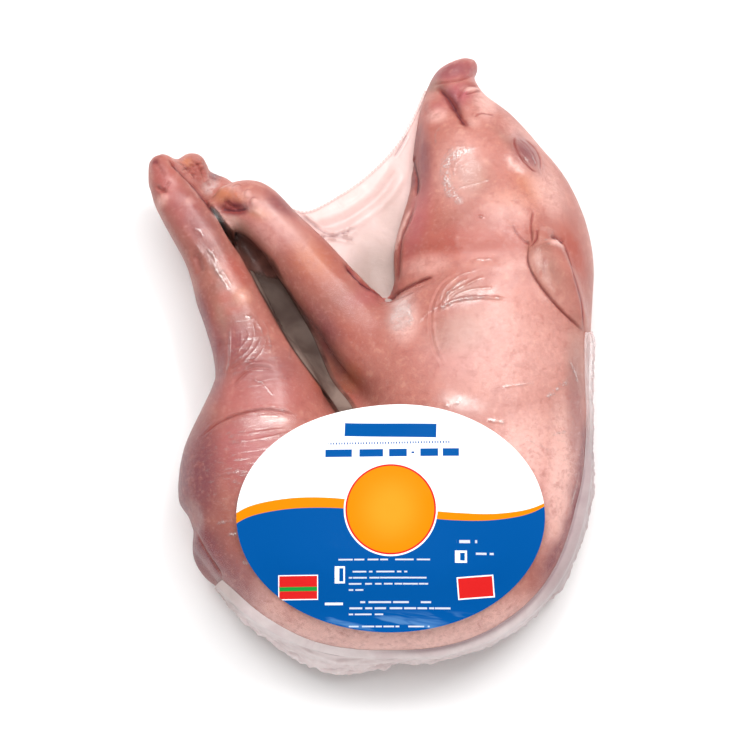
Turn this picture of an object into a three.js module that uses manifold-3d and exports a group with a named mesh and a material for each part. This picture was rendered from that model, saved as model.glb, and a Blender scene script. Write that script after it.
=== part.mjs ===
// A whole raw suckling pig, folded up and sealed in clear shrink film, lying on its right side.
//
// Frame: millimetres, +Z up. The pig rests on Z = 0 with its left side up, its head towards +Y,
// its back towards +X and its legs towards -X. The origin is under the middle of the pack.
//
// "pack" is the pig with the film that lies tight on it. It is a blend of masses. Each mass is a
// chain of stations, and a station is a rounded body with one radius in plan and one in height.
// "film_web" and "film_skirt" are the two stretches where the film stands away from the pig,
// and "label" is the oval label that lies on the flank.
import * as THREE from "three";
import Module from "manifold-3d";
import { SimplifyModifier } from "three/addons/modifiers/SimplifyModifier.js";
import { mergeVertices } from "three/addons/utils/BufferGeometryUtils.js";

// ---- driving dimensions, in millimetres ----------------------------------------------------------
const TRUNK_Z = 50; // middle of the trunk, a little sunk so that its weight flattens the side it lies on
const TRUNK_HALF = 54; // half of the pig's width across the ribs
const HEAD_Z = 41; // middle of the head, lying on its cheek
const UPPER_LEG_Z = 56; // middle of the left legs, which lie on top
const LOWER_LEG_Z = 21; // middle of the right legs, under them
const GIRTH_POWER = 2.3; // 2 would make every section an ellipse, more makes it squarer

const LABEL = { x: 11, y: -114, halfWidth: 105, halfLength: 76, clearance: 1.1, thickness: 0.8 };
const FILM = 1.6; // thickness of the loose film, with its crumples
const GAP = 0.8; // clearance between pieces that touch, before the skin is thinned
const MIDDLE = { x: -1.4, y: 5 }; // middle of the pack in plan, in the coordinates of the stations below

const GRID = 3.5; // spacing of the grid on which the skin is found
const PACK_VERTICES = 4650; // what the skin is thinned to
const SAMPLE_STEP = 4; // distance between the bodies that fill a chain
const REACH = 20; // how far from the skin distances are worked out

// ---- masses: [x, y, z, radius in plan, radius in height] -----------------------------------------
const TRUNK = [
  [-74, -95, TRUNK_Z - 4, 62, 48],
  [-40, -124, TRUNK_Z - 2, 68, 51],
  [10, -128, TRUNK_Z, 74, TRUNK_HALF],
  [54, -106, TRUNK_Z, 86, TRUNK_HALF],
  [71, -53, TRUNK_Z, 79, TRUNK_HALF],
  [74, -3, TRUNK_Z, 77, TRUNK_HALF],
  [85, 48, TRUNK_Z - 4, 69, 49],
  [85, 76, HEAD_Z + 3, 68, 46],
];
const HEAD = [
  [85, 76, HEAD_Z + 3, 68, 46],
  [86, 101, HEAD_Z + 2, 64, 43],
  [80, 125, HEAD_Z + 1, 54, 40],
  [70, 153, HEAD_Z, 42, 35],
  [60, 178, HEAD_Z, 28, 27],
  [57, 197, HEAD_Z, 20, 21],
];
const SNOUT = [
  [46, 203, HEAD_Z, 5, 11],
  [52, 207, HEAD_Z, 6, 16],
  [59, 212, HEAD_Z, 6.5, 18],
  [65, 216, HEAD_Z, 6.5, 16],
  [71, 220, HEAD_Z, 5.5, 11],
];
const UPPER_FORELEG = [
  [39, 2, UPPER_LEG_Z + 4, 42, 34],
  [6, 13, UPPER_LEG_Z + 2, 31, 27],
  [-20, 38, UPPER_LEG_Z + 1, 24, 23],
  [-49, 73, UPPER_LEG_Z, 21.5, 20.5],
  [-69, 97, UPPER_LEG_Z, 18, 18],
  [-86, 112, UPPER_LEG_Z, 19.5, 18],
  [-100, 115, UPPER_LEG_Z, 14.5, 15],
];
const UPPER_HINDLEG = [
  [-76, -75, UPPER_LEG_Z - 2, 58, 44],
  [-76, -19, UPPER_LEG_Z, 36, 32],
  [-88, 13, UPPER_LEG_Z, 25.5, 25],
  [-101, 46, UPPER_LEG_Z, 23, 21.5],
  [-115, 78, UPPER_LEG_Z, 19, 18.5],
  [-133, 107, UPPER_LEG_Z, 17, 16.5],
  [-145, 127, UPPER_LEG_Z, 14.5, 15],
  [-150, 141, UPPER_LEG_Z, 10.5, 12],
];
const LOWER_FORELEG = [
  [40, 8, LOWER_LEG_Z + 5, 36, 28],
  [-24, 52, LOWER_LEG_Z, 21, 20],
  [-84, 108, LOWER_LEG_Z, 15, 17],
  [-112, 133, LOWER_LEG_Z + 12, 9, 12],
];
const LOWER_HINDLEG = [
  [-62, -45, LOWER_LEG_Z + 5, 43, 28],
  [-92, 22, LOWER_LEG_Z, 21, 20],
  [-113, 84, LOWER_LEG_Z, 17, 17],
  [-131, 128, LOWER_LEG_Z + 17, 13, 15],
  [-130, 145, LOWER_LEG_Z + 22, 11, 12],
];
const BELLY = [
  [-100, 92, 12, 12, 12],
  [-60, 31, 12, 26, 12],
  [-30, -20, 16, 34, 22],
  [-20, -60, 34, 40, 34],
];
// Between the ham and the ribs, where the film and the label on it are drawn flat.
const FLANK = [
  [-66, -88, TRUNK_Z, 44, 47],
  [-30, -84, TRUNK_Z + 1, 43, 50],
  [8, -84, TRUNK_Z + 1, 44, 53],
  [50, -86, TRUNK_Z, 52, TRUNK_HALF],
];
const TAIL = [
  [-115, -120, 36, 9, 15],
  [-119, -130, 33, 8, 13],
  [-115, -142, 30, 6.5, 10],
  [-106, -152, 28, 4.5, 7],
];
// Each mass flows into the ones before it over its own distance.
const MASSES = [
  { chain: TRUNK, flow: 0 },
  { chain: HEAD, flow: 12 },
  { chain: BELLY, flow: 14 },
  { chain: FLANK, flow: 14 },
  { chain: LOWER_FORELEG, flow: 8 },
  { chain: LOWER_HINDLEG, flow: 8 },
  { chain: UPPER_FORELEG, flow: 8 },
  { chain: UPPER_HINDLEG, flow: 8 },
  { chain: SNOUT, flow: 5 },
  { chain: TAIL, flow: 5 },
  { chain: [[-141, 114, UPPER_LEG_Z + 2, 6, 8]], flow: 4 }, // hind dewclaw
  { chain: [[-95, 118, UPPER_LEG_Z + 8, 7, 8]], flow: 5 }, // knuckle of the bent fore wrist
  { chain: [[-107, 48, UPPER_LEG_Z + 2, 15, 18]], flow: 8 }, // hock
];

// ---- relief on the upper side --------------------------------------------------------------------
// A fold is a groove along a route in plan, a swelling is a raised patch round a route in plan.
const FOLDS = [
  { route: [[41, 199], [52, 189], [59, 179], [63, 173], [70, 171]], width: 6, depth: 5 }, // mouth
  { route: [[4, 40], [21, 48], [35, 53], [47, 58]], width: 6, depth: 6 }, // behind the foreleg
  { route: [[28, 72], [60, 70], [98, 73]], width: 10, depth: 2.5 }, // neck
  { route: [[97, 98], [101, 88], [109, 82]], width: 5, depth: 3 }, // root of the ear, in front
  { route: [[122, 93], [131, 82], [139, 62]], width: 5, depth: 3 }, // root of the ear, behind
  { route: [[-150, 120], [-142, 124], [-134, 127]], width: 4, depth: 1.6 }, // edge of the hoof
];
const SWELLINGS = [
  // ear
  { route: [[116, 80, 8], [123, 63, 13], [132, 46, 11], [141, 32, 6], [147, 24, 2]], lift: 6, edge: 5 },
  // closed eye
  { route: [[102, 154, 6], [108, 145, 8], [115, 136, 5]], lift: 3.5, edge: 7 },
];

// ---- loose film: the route that it leaves the pig along, and its free edge ------------------------
const WEB = {
  pigSide: [[-70, 98, 54], [-44, 76, 54], [-18, 52, 52], [8, 44, 48], [20, 62, 46], [32, 100, 44],
    [36, 135, 43], [38, 165, 42], [46, 198, 42]],
  freeEdge: [[-64, 113, 56], [-50, 114, 55], [-38, 116, 52], [-24, 124, 50], [-12, 133, 48], [2, 145, 46],
    [13, 155, 45], [19, 166, 44], [25, 181, 43], [36, 203, 42]],
  stations: 26,
  across: 6,
  ripple: { height: 0.8, waves: 4 },
};
const SKIRT = {
  pigSide: [[134, 20, 40], [132, -20, 40], [130, -55, 38], [126, -100, 38], [105, -140, 36], [70, -168, 36],
    [20, -180, 36], [-30, -178, 36], [-70, -166, 36], [-92, -142, 34]],
  freeEdge: [[152, 28, 40], [157, -24, 36], [156, -72, 32], [148, -116, 28], [124, -165, 24], [66, -201, 22],
    [4, -215, 20], [-57, -203, 18], [-92, -176, 20], [-108, -150, 24]],
  stations: 80,
  across: 3,
  ripple: { height: 2, waves: 21 },
};

// ---- the blended skin ----------------------------------------------------------------------------
function curveThrough(points) {
  return new THREE.CatmullRomCurve3(points.map((p) => new THREE.Vector3(...p)));
}

// Fills a chain with bodies that lie close enough together to read as one smooth mass.
function fillChain(stations) {
  if (stations.length === 1) return stations.map(([x, y, z, plan, height]) => ({ x, y, z, plan, height }));
  const centres = curveThrough(stations.map(([x, y, z]) => [x, y, z]));
  const radii = curveThrough(stations.map(([, , , plan, height]) => [plan, height, 0]));
  const steps = Math.ceil(centres.getLength() / SAMPLE_STEP);
  return Array.from({ length: steps + 1 }, (_, i) => {
    const { x, y, z } = centres.getPoint(i / steps);
    const { x: plan, y: height } = radii.getPoint(i / steps);
    return { x, y, z, plan, height };
  });
}

// The box that holds a filled chain, grown by the reach.
function boxRound(bodies) {
  const box = new THREE.Box3();
  for (const { x, y, z, plan, height } of bodies) {
    const grown = [plan + REACH, plan + REACH, height + REACH];
    box.expandByPoint(new THREE.Vector3(x - grown[0], y - grown[1], z - grown[2]));
    box.expandByPoint(new THREE.Vector3(x + grown[0], y + grown[1], z + grown[2]));
  }
  return box;
}

// Distance from a point to the nearest body of a filled chain, close to true near its surface.
// Beyond the reach it isn't worked out.
function chainDistance({ bodies, box: { min, max } }, x, y, z) {
  if (x < min.x || x > max.x || y < min.y || y > max.y || z < min.z || z > max.z) return REACH;
  let nearest = REACH;
  for (const body of bodies) {
    const out = Math.sqrt((x - body.x) ** 2 + (y - body.y) ** 2) / body.plan;
    const up = Math.abs(z - body.z) / body.height;
    if (Math.max(out - 1, up - 1) * Math.min(body.plan, body.height) > nearest) continue;
    const share = (out ** GIRTH_POWER + up ** GIRTH_POWER) ** (1 / GIRTH_POWER);
    if (share < 1e-6) return -Math.min(body.plan, body.height);
    const lean = Math.hypot(out ** (GIRTH_POWER - 1) / body.plan, up ** (GIRTH_POWER - 1) / body.height);
    nearest = Math.min(nearest, ((share - 1) * share ** (GIRTH_POWER - 1)) / lean);
  }
  return nearest;
}

function blend(a, b, width) {
  if (width === 0) return Math.min(a, b);
  const h = Math.max(width - Math.abs(a - b), 0) / width;
  return Math.min(a, b) - (h * h * width) / 4;
}

const smoothStep = (t) => THREE.MathUtils.smoothstep(t, 0, 1);

// Points close together along a route in plan, each with its radius.
function fillRoute(route) {
  const curve = curveThrough(route.map(([x, y, radius = 0]) => [x, y, radius]));
  return curve.getPoints(Math.ceil(curve.getLength() / 2));
}

function routeDistance(points, x, y) {
  return points.reduce((nearest, p) => Math.min(nearest, Math.hypot(x - p.x, y - p.y) - p.z), Infinity);
}

const masses = MASSES.map(({ chain, flow }) => {
  const bodies = fillChain(chain);
  return { bodies, box: boxRound(bodies), flow };
});
const folds = FOLDS.map((fold) => ({ ...fold, points: fillRoute(fold.route) }));
const swellings = SWELLINGS.map((swelling) => ({ ...swelling, points: fillRoute(swelling.route) }));

function relief(x, y) {
  const grooves = folds.reduce((sum, { points, width, depth }) => (
    sum + depth * smoothStep(1 - routeDistance(points, x, y) / width)), 0);
  const raised = swellings.reduce((sum, { points, lift, edge }) => (
    sum + lift * smoothStep(0.5 - routeDistance(points, x, y) / edge)), 0);
  return grooves - raised;
}

function packDistance(x, y, z) {
  const body = masses.reduce((d, mass) => blend(d, chainDistance(mass, x, y, z), mass.flow), REACH);
  if (z < HEAD_Z || Math.abs(body) > REACH / 2) return Math.max(body, -z);
  return body + relief(x, y) * smoothStep((z - HEAD_Z) / 10);
}

// ---- meshing -------------------------------------------------------------------------------------
function gridLine(from, to) {
  return Array.from({ length: Math.ceil((to - from) / GRID) + 1 }, (_, i) => from + i * GRID);
}

const xs = gridLine(-180, 175);
const ys = gridLine(-225, 240);
const zs = gridLine(-1.5 * GRID, 122);
const step = [1, xs.length, xs.length * ys.length];
const values = new Float32Array(xs.length * ys.length * zs.length);
zs.forEach((z, k) => ys.forEach((y, j) => xs.forEach((x, i) => {
  values[i + j * step[1] + k * step[2]] = packDistance(x, y, z);
})));

const CORNERS = [0, 1, 2, 3, 4, 5, 6, 7].map((n) => [n & 1, (n >> 1) & 1, n >> 2]);
const CELL_EDGES = CORNERS.flatMap((a) => [0, 1, 2].filter((axis) => !a[axis]).map((axis) => (
  [a, a.map((value, i) => (i === axis ? 1 : value))])));

// The grid's values, with a corner filled wherever the surface would meet itself along an edge:
// where the inside corners of a grid square lie across from each other.
function withoutPinches(level) {
  const filled = Float32Array.from(values);
  for (let pinches = 1; pinches > 0;) {
    pinches = 0;
    for (let here = 0; here < filled.length - step[2] - step[1]; here++) {
      for (const [u, v] of [[step[0], step[1]], [step[1], step[2]], [step[2], step[0]]]) {
        const square = [here, here + u, here + u + v, here + v];
        const [a, b, c, d] = square.map((n) => filled[n] < level);
        if (a !== c || b !== d || a === b) continue;
        const [first, second] = a ? [square[1], square[3]] : [square[0], square[2]];
        filled[filled[first] < filled[second] ? first : second] = level - 0.1 * GRID;
        pinches += 1;
      }
    }
  }
  return filled;
}

// The surface at "level" from the skin: one vertex in each cell of the grid that the surface
// crosses, and one quad across each grid edge that it crosses.
function surfaceAt(level) {
  const filled = withoutPinches(level);
  const inside = (n) => filled[n] < level;
  const cell = new Map();
  const positions = [];
  const index = [];
  for (let k = 0; k < zs.length - 1; k++) {
    for (let j = 0; j < ys.length - 1; j++) {
      for (let i = 0; i < xs.length - 1; i++) {
        const here = i + j * step[1] + k * step[2];
        const sum = [0, 0, 0];
        let crossings = 0;
        for (const [a, b] of CELL_EDGES) {
          const from = here + a[0] + a[1] * step[1] + a[2] * step[2];
          const to = here + b[0] + b[1] * step[1] + b[2] * step[2];
          if (inside(from) === inside(to)) continue;
          const t = (level - filled[from]) / (filled[to] - filled[from]);
          for (let axis = 0; axis < 3; axis++) sum[axis] += a[axis] + t * (b[axis] - a[axis]);
          crossings += 1;
        }
        if (crossings === 0) continue;
        cell.set(here, positions.length / 3);
        const corner = [xs[i], ys[j], zs[k]];
        positions.push(...sum.map((s, axis) => corner[axis] + (GRID * s) / crossings));
      }
    }
  }
  for (const here of cell.keys()) {
    for (let axis = 0; axis < 3; axis++) {
      if (inside(here) === inside(here + step[axis])) continue;
      const u = step[(axis + 1) % 3];
      const v = step[(axis + 2) % 3];
      const ring = [here - u - v, here - v, here, here - u].map((n) => cell.get(n));
      if (!inside(here)) ring.reverse();
      index.push(ring[0], ring[1], ring[2], ring[0], ring[2], ring[3]);
    }
  }
  return new THREE.BufferGeometry()
    .setAttribute("position", new THREE.Float32BufferAttribute(positions, 3))
    .setIndex(index);
}

async function thinned(geometry, vertices) {
  const surplus = geometry.getAttribute("position").count - vertices;
  return surplus > 0 ? new SimplifyModifier().modify(geometry, surplus) : geometry;
}

// A closed sheet between two surfaces given as grids of points, "upper" over "lower", both split
// into triangles alike. A grid is a list of rows, and each row is a list of points.
function sheetBetween(upper, lower) {
  const rows = upper.length;
  const columns = upper[0].length;
  const at = (side, row, column) => (side * rows + row) * columns + column;
  const index = [];
  const quad = (a, b, c, d) => index.push(a, b, c, a, c, d);
  for (let r = 0; r < rows - 1; r++) {
    for (let c = 0; c < columns - 1; c++) {
      quad(at(0, r, c), at(0, r, c + 1), at(0, r + 1, c + 1), at(0, r + 1, c));
      quad(at(1, r, c), at(1, r + 1, c), at(1, r + 1, c + 1), at(1, r, c + 1));
    }
    quad(at(0, r, 0), at(0, r + 1, 0), at(1, r + 1, 0), at(1, r, 0));
    quad(at(0, r + 1, columns - 1), at(0, r, columns - 1), at(1, r, columns - 1), at(1, r + 1, columns - 1));
  }
  for (let c = 0; c < columns - 1; c++) {
    quad(at(0, 0, c + 1), at(0, 0, c), at(1, 0, c), at(1, 0, c + 1));
    quad(at(0, rows - 1, c), at(0, rows - 1, c + 1), at(1, rows - 1, c + 1), at(1, rows - 1, c));
  }
  return new THREE.BufferGeometry()
    .setAttribute("position", new THREE.Float32BufferAttribute([...upper, ...lower].flat(2), 3))
    .setIndex(index);
}

// A stretch of loose film from inside the pig out to its free edge, rippled more towards that edge.
function looseFilm({ pigSide, freeEdge, stations, across, ripple }) {
  const near = curveThrough(pigSide);
  const far = curveThrough(freeEdge);
  const point = (a, s, side) => {
    const p = near.getPointAt(s / stations).lerp(far.getPointAt(s / stations), a / across);
    const turn = (2 * Math.PI * ripple.waves * s) / stations;
    const wave = Math.sin(turn) + 0.5 * Math.sin(2.3 * turn + 1);
    return [p.x, p.y, p.z + (ripple.height * wave * a) / across + (side * FILM) / 2];
  };
  const face = (side) => Array.from({ length: across + 1 }, (_, a) => (
    Array.from({ length: stations + 1 }, (__, s) => point(a, s, side))));
  return sheetBetween(face(1), face(-1));
}

// ---- the label, laid over the flank --------------------------------------------------------------
const LABEL_RINGS = 12;
const LABEL_SPOKES = 42;

// Height at which a vertical line through (x, y) comes down to "clearance" above the skin.
function restingHeight(x, y, clearance) {
  let low = TRUNK_Z;
  let high = TRUNK_Z + TRUNK_HALF + 12;
  for (let i = 0; i < 24; i++) {
    const middle = (low + high) / 2;
    if (packDistance(x, y, middle) < clearance) low = middle;
    else high = middle;
  }
  return high;
}

// An oval web of rings and spokes in plan, laid on the skin, with its two faces joined at the rim.
function ovalLabel() {
  const { x, y, halfWidth, halfLength, clearance, thickness } = LABEL;
  const plan = [[x, y]];
  for (let ring = 1; ring <= LABEL_RINGS; ring++) {
    for (let spoke = 0; spoke < LABEL_SPOKES; spoke++) {
      const angle = (2 * Math.PI * spoke) / LABEL_SPOKES;
      const share = ring / LABEL_RINGS;
      plan.push([x + share * halfWidth * Math.cos(angle), y + share * halfLength * Math.sin(angle)]);
    }
  }
  const face = (height) => plan.map(([px, py]) => [px, py, restingHeight(px, py, height)]);
  const bottom = face(clearance);
  const top = face(clearance + thickness);
  const under = plan.length;
  const at = (ring, spoke) => 1 + (ring - 1) * LABEL_SPOKES + (spoke % LABEL_SPOKES);
  const index = [];
  for (let spoke = 0; spoke < LABEL_SPOKES; spoke++) {
    const upper = [0, at(1, spoke), at(1, spoke + 1)];
    for (let ring = 1; ring < LABEL_RINGS; ring++) {
      const near = [at(ring, spoke), at(ring, spoke + 1)];
      const far = [at(ring + 1, spoke), at(ring + 1, spoke + 1)];
      upper.push(near[0], far[0], far[1], near[0], far[1], near[1]);
    }
    const rim = [at(LABEL_RINGS, spoke), at(LABEL_RINGS, spoke + 1)];
    index.push(...upper, ...upper.map((n) => n + under).reverse());
    index.push(rim[0], rim[0] + under, rim[1] + under, rim[0], rim[1] + under, rim[1]);
  }
  return new THREE.BufferGeometry()
    .setAttribute("position", new THREE.Float32BufferAttribute([...top, ...bottom].flat(), 3))
    .setIndex(index);
}

// ---- solids --------------------------------------------------------------------------------------
const wasm = await Module();
wasm.setup();

function solidOf(geometry) {
  const bare = new THREE.BufferGeometry()
    .setAttribute("position", geometry.getAttribute("position"))
    .setIndex(geometry.index);
  const merged = mergeVertices(bare, 1e-4);
  return new wasm.Manifold(new wasm.Mesh({
    numProp: 3,
    vertProperties: merged.attributes.position.array,
    triVerts: new Uint32Array(merged.index.array),
  }));
}

function meshFrom(solid, name, material) {
  const { vertProperties, triVerts } = solid.getMesh();
  const geometry = new THREE.BufferGeometry()
    .setAttribute("position", new THREE.BufferAttribute(vertProperties, 3))
    .setIndex(new THREE.BufferAttribute(triVerts, 1));
  geometry.computeVertexNormals();
  const mesh = new THREE.Mesh(geometry, material);
  mesh.name = name;
  return mesh;
}

// What stays of a sheet outside the pig, without the scraps that lie in its creases.
function outside(sheet, cutter) {
  const parts = solidOf(sheet).subtract(cutter).decompose();
  return parts.reduce((largest, part) => (part.volume() > largest.volume() ? part : largest));
}

const pack = solidOf(await thinned(surfaceAt(0), PACK_VERTICES));
const packWithGap = solidOf(await thinned(surfaceAt(GAP), PACK_VERTICES));

const skin = new THREE.MeshStandardMaterial({ color: 0xdc9a8c, roughness: 0.3, metalness: 0 });
const film = new THREE.MeshStandardMaterial({ color: 0xf0dcd8, roughness: 0.15, metalness: 0 });
const print = new THREE.MeshStandardMaterial({ color: 0x005ea8, roughness: 0.3, metalness: 0 });

const object = new THREE.Group();
object.add(meshFrom(pack, "pack", skin));
object.add(meshFrom(solidOf(ovalLabel()), "label", print));
object.add(meshFrom(outside(looseFilm(WEB), packWithGap), "film_web", film));
object.add(meshFrom(outside(looseFilm(SKIRT), packWithGap), "film_skirt", film));
object.position.set(-MIDDLE.x, -MIDDLE.y, 0);

export default object;
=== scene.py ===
"""A whole raw suckling pig, folded up on its side and sealed in clear shrink film, with an oval label.

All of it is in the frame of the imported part. The pig lies on z = 0, with its snout towards +Y and its back
towards +X. Places and sizes are in millimetres, and the meshes are in metres. A place on the pig is an (x, y)
seen from above. Its height is found on the pig itself.
"""
import math

import bpy
import numpy as np
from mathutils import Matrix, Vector, noise
from mathutils.bvhtree import BVHTree


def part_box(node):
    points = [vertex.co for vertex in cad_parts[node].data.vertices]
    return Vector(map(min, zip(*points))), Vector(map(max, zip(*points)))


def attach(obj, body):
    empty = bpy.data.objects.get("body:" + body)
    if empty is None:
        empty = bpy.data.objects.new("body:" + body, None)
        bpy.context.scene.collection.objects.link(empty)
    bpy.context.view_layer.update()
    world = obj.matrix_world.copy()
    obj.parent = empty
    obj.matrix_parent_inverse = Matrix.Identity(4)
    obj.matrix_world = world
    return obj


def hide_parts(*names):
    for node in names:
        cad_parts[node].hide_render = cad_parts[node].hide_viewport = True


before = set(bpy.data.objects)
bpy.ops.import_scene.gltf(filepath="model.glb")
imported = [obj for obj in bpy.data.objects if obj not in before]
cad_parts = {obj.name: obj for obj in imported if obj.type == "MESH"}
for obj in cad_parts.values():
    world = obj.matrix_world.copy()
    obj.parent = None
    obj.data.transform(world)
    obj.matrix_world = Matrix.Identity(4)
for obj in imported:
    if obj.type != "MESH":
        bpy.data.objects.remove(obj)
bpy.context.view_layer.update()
MM = 0.001

# ---- the pig's own lines: (groove's half width, depth, height of its lips, painted shade in it), places ----
EAR_FRONT = [(108, 70), (107, 60), (111, 49), (121, 35), (133, 23), (146, 14)]
EAR_BACK = [(132, 78), (136, 66), (139, 52), (144, 34), (146, 14)]
TAIL_CREASE = [(-123, -120), (-114, -137), (-102, -156)]
GROOVES = {
    "mouth": ((1.9, 2.8, 0.5, 0.95), [(46, 196), (54, 186), (60, 175), (65, 165), (70, 162)]),
    "snout_rim": ((0.9, 1.2, 0.5, 0.4), [(43, 198), (53, 198), (64, 200), (73, 206)]),
    "nostril_fold": ((1.5, 1.5, 0.7, 0.4), [(61, 183), (63, 189), (68, 195), (77, 197)]),
    "upper_muzzle_crease": ((0.8, 0.9, 0.7, 0.45), [(66, 187), (72, 190), (78, 193)]),
    "lower_muzzle_crease": ((0.8, 0.8, 0.5, 0.5), [(72, 169), (77, 172), (87, 171)]),
    "eye_line": ((0.8, 1.0, 0.3, 0.7), [(107, 154), (114, 149), (118, 140), (118, 129)]),
    "eye_inner_line": ((0.6, 0.6, 0.3, 0.6), [(103, 152), (110, 146), (114, 137), (114, 130)]),
    "lid_line": ((0.8, 1.1, 0.4, 0.8), [(101, 155), (100, 147), (104, 138), (111, 129), (116, 127)]),
    "ear_front_edge": ((0.9, 1.3, 0.0, 0.55), EAR_FRONT),
    "ear_back_edge": ((1.2, 1.8, 0.0, 0.95), EAR_BACK),
    "ear_root_low": ((0.8, 1.3, 0.35, 0.7), [(97, 87), (101, 79), (109, 71)]),
    "ear_root_mid": ((0.8, 1.1, 0.35, 0.6), [(112, 98), (110, 85), (110, 71)]),
    "ear_root_high": ((0.9, 1.3, 0.35, 0.7), [(114, 83), (113, 75), (109, 69)]),
    "ear_hole": ((1.9, 2.6, 0.6, 0.85), [(123, 77), (128, 78), (133, 74)]),
    "ear_fold": ((1.4, 0.6, 0.4, 0.25), [(119, 62), (118, 54), (120, 46)]),
    "throat_slot": ((1.4, 3.6, 0.4, 1.0), [(29, 148), (30, 138), (32, 126), (31, 112)]),
    "throat_fold": ((1.3, 2.4, 0.6, 0.8), [(30, 107), (25, 94), (20, 80), (18, 50)]),
    "chin_dimple": ((1.8, 0.7, 0.2, 0.25), [(39, 185), (38, 179), (40, 173)]),
    "neck_hollow": ((7.0, 1.4, 0.0, 0.0), [(34, 71), (60, 67), (100, 66)]),
    "armpit": ((1.0, 2.6, 0.5, 0.75), [(7, 41), (20, 44), (32, 48), (43, 51)]),
    "armpit_low": ((0.8, 0.9, 0.3, 0.55), [(10, 38), (20, 38), (30, 41)]),
    "behind_the_foreleg": ((1.6, 5.0, 0.0, 1.0), [(-19, 64), (-8, 51), (8, 42)]),
    "shoulder_arc": ((0.9, 0.5, 0.5, 0.2), [(60, 50), (50, 45), (43, 34), (40, 18), (42, 0), (49, -16)]),
    "pastern": ((1.2, 1.6, 0.8, 0.5), [(-152, 120), (-147, 116), (-143, 115)]),
    "pastern_up": ((0.9, 0.9, 0.5, 0.4), [(-147, 116), (-144, 119), (-142, 123)]),
    "hoof_split": ((1.2, 0.7, 0.4, 0.18), [(-153, 139), (-149, 131), (-145, 126)]),
    "between_the_feet": (
        (1.4, 5.0, 0.2, 0.9), [(-144, 141), (-136, 132), (-123, 119), (-115, 107), (-108, 96)]),
    "gap_foot": ((5.0, 8.0, 0.0, 0.0), [(-55, 14), (-35, -14), (-14, -56)]),
    "foot_gash_a": ((0.9, 1.4, 0.7, 0.35), [(-137, 140), (-131, 136), (-125, 128)]),
    "foot_gash_b": ((0.8, 1.2, 0.6, 0.35), [(-130, 143), (-123, 138), (-119, 130)]),
    "foot_gash_c": ((0.8, 1.0, 0.5, 0.3), [(-135, 133), (-127, 138), (-119, 141)]),
    "wrist_crease": ((2.0, 1.8, 0.4, 1.0), [(-107, 104), (-99, 102), (-93, 102), (-86, 103)]),
    "wrist_fork": ((1.0, 1.0, 0.3, 0.7), [(-104, 109), (-99, 105), (-94, 103)]),
    "knuckle_ring_a": ((0.6, 0.6, 0.3, 0.4), [(-99, 118), (-95, 121), (-91, 118)]),
    "knuckle_ring_b": ((0.6, 0.6, 0.3, 0.45), [(-87, 105), (-84, 110), (-79, 109)]),
    "knuckle_ring_c": ((0.6, 0.5, 0.3, 0.35), [(-90, 111), (-88, 116), (-84, 115)]),
    "gaskin_hollow": ((3.6, 1.6, 0.3, 0.2), [(-124, 70), (-121, 63), (-119, 56)]),
    "shin_tendon": ((3.0, 1.2, 0.0, 0.0), [(-131, 96), (-114, 67), (-103, 46)]),
    "stifle_fold_a": ((1.4, 1.0, 0.6, 0.4), [(-96, -25), (-87, -16), (-77, -13), (-67, -15)]),
    "stifle_fold_b": ((1.2, 0.6, 0.4, 0.25), [(-79, -22), (-66, -21), (-53, -19)]),
    "stifle_fold_c": ((1.2, 0.6, 0.4, 0.25), [(-100, -15), (-87, -8), (-74, -8)]),
    "behind_the_knee": ((4.5, 1.8, 0.0, 0.4), [(-105, 9), (-107, -9), (-109, -20)]),
    "haunch_arc": ((0.8, 1.0, 0.9, 0.6), [(-118, -62), (-103, -51), (-80, -44), (-62, -44), (-50, -48)]),
    "beside_the_tail": ((1.5, 3.0, 0.0, 0.9), TAIL_CREASE),
    "shoulder_hollow": ((6.0, 1.4, 0.0, 0.0), [(45, 20), (43, 5), (46, -8)]),
    "dent": ((2.6, 0.8, 0.5, 0.15), [(94, -9), (103, -5)]),
}
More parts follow.
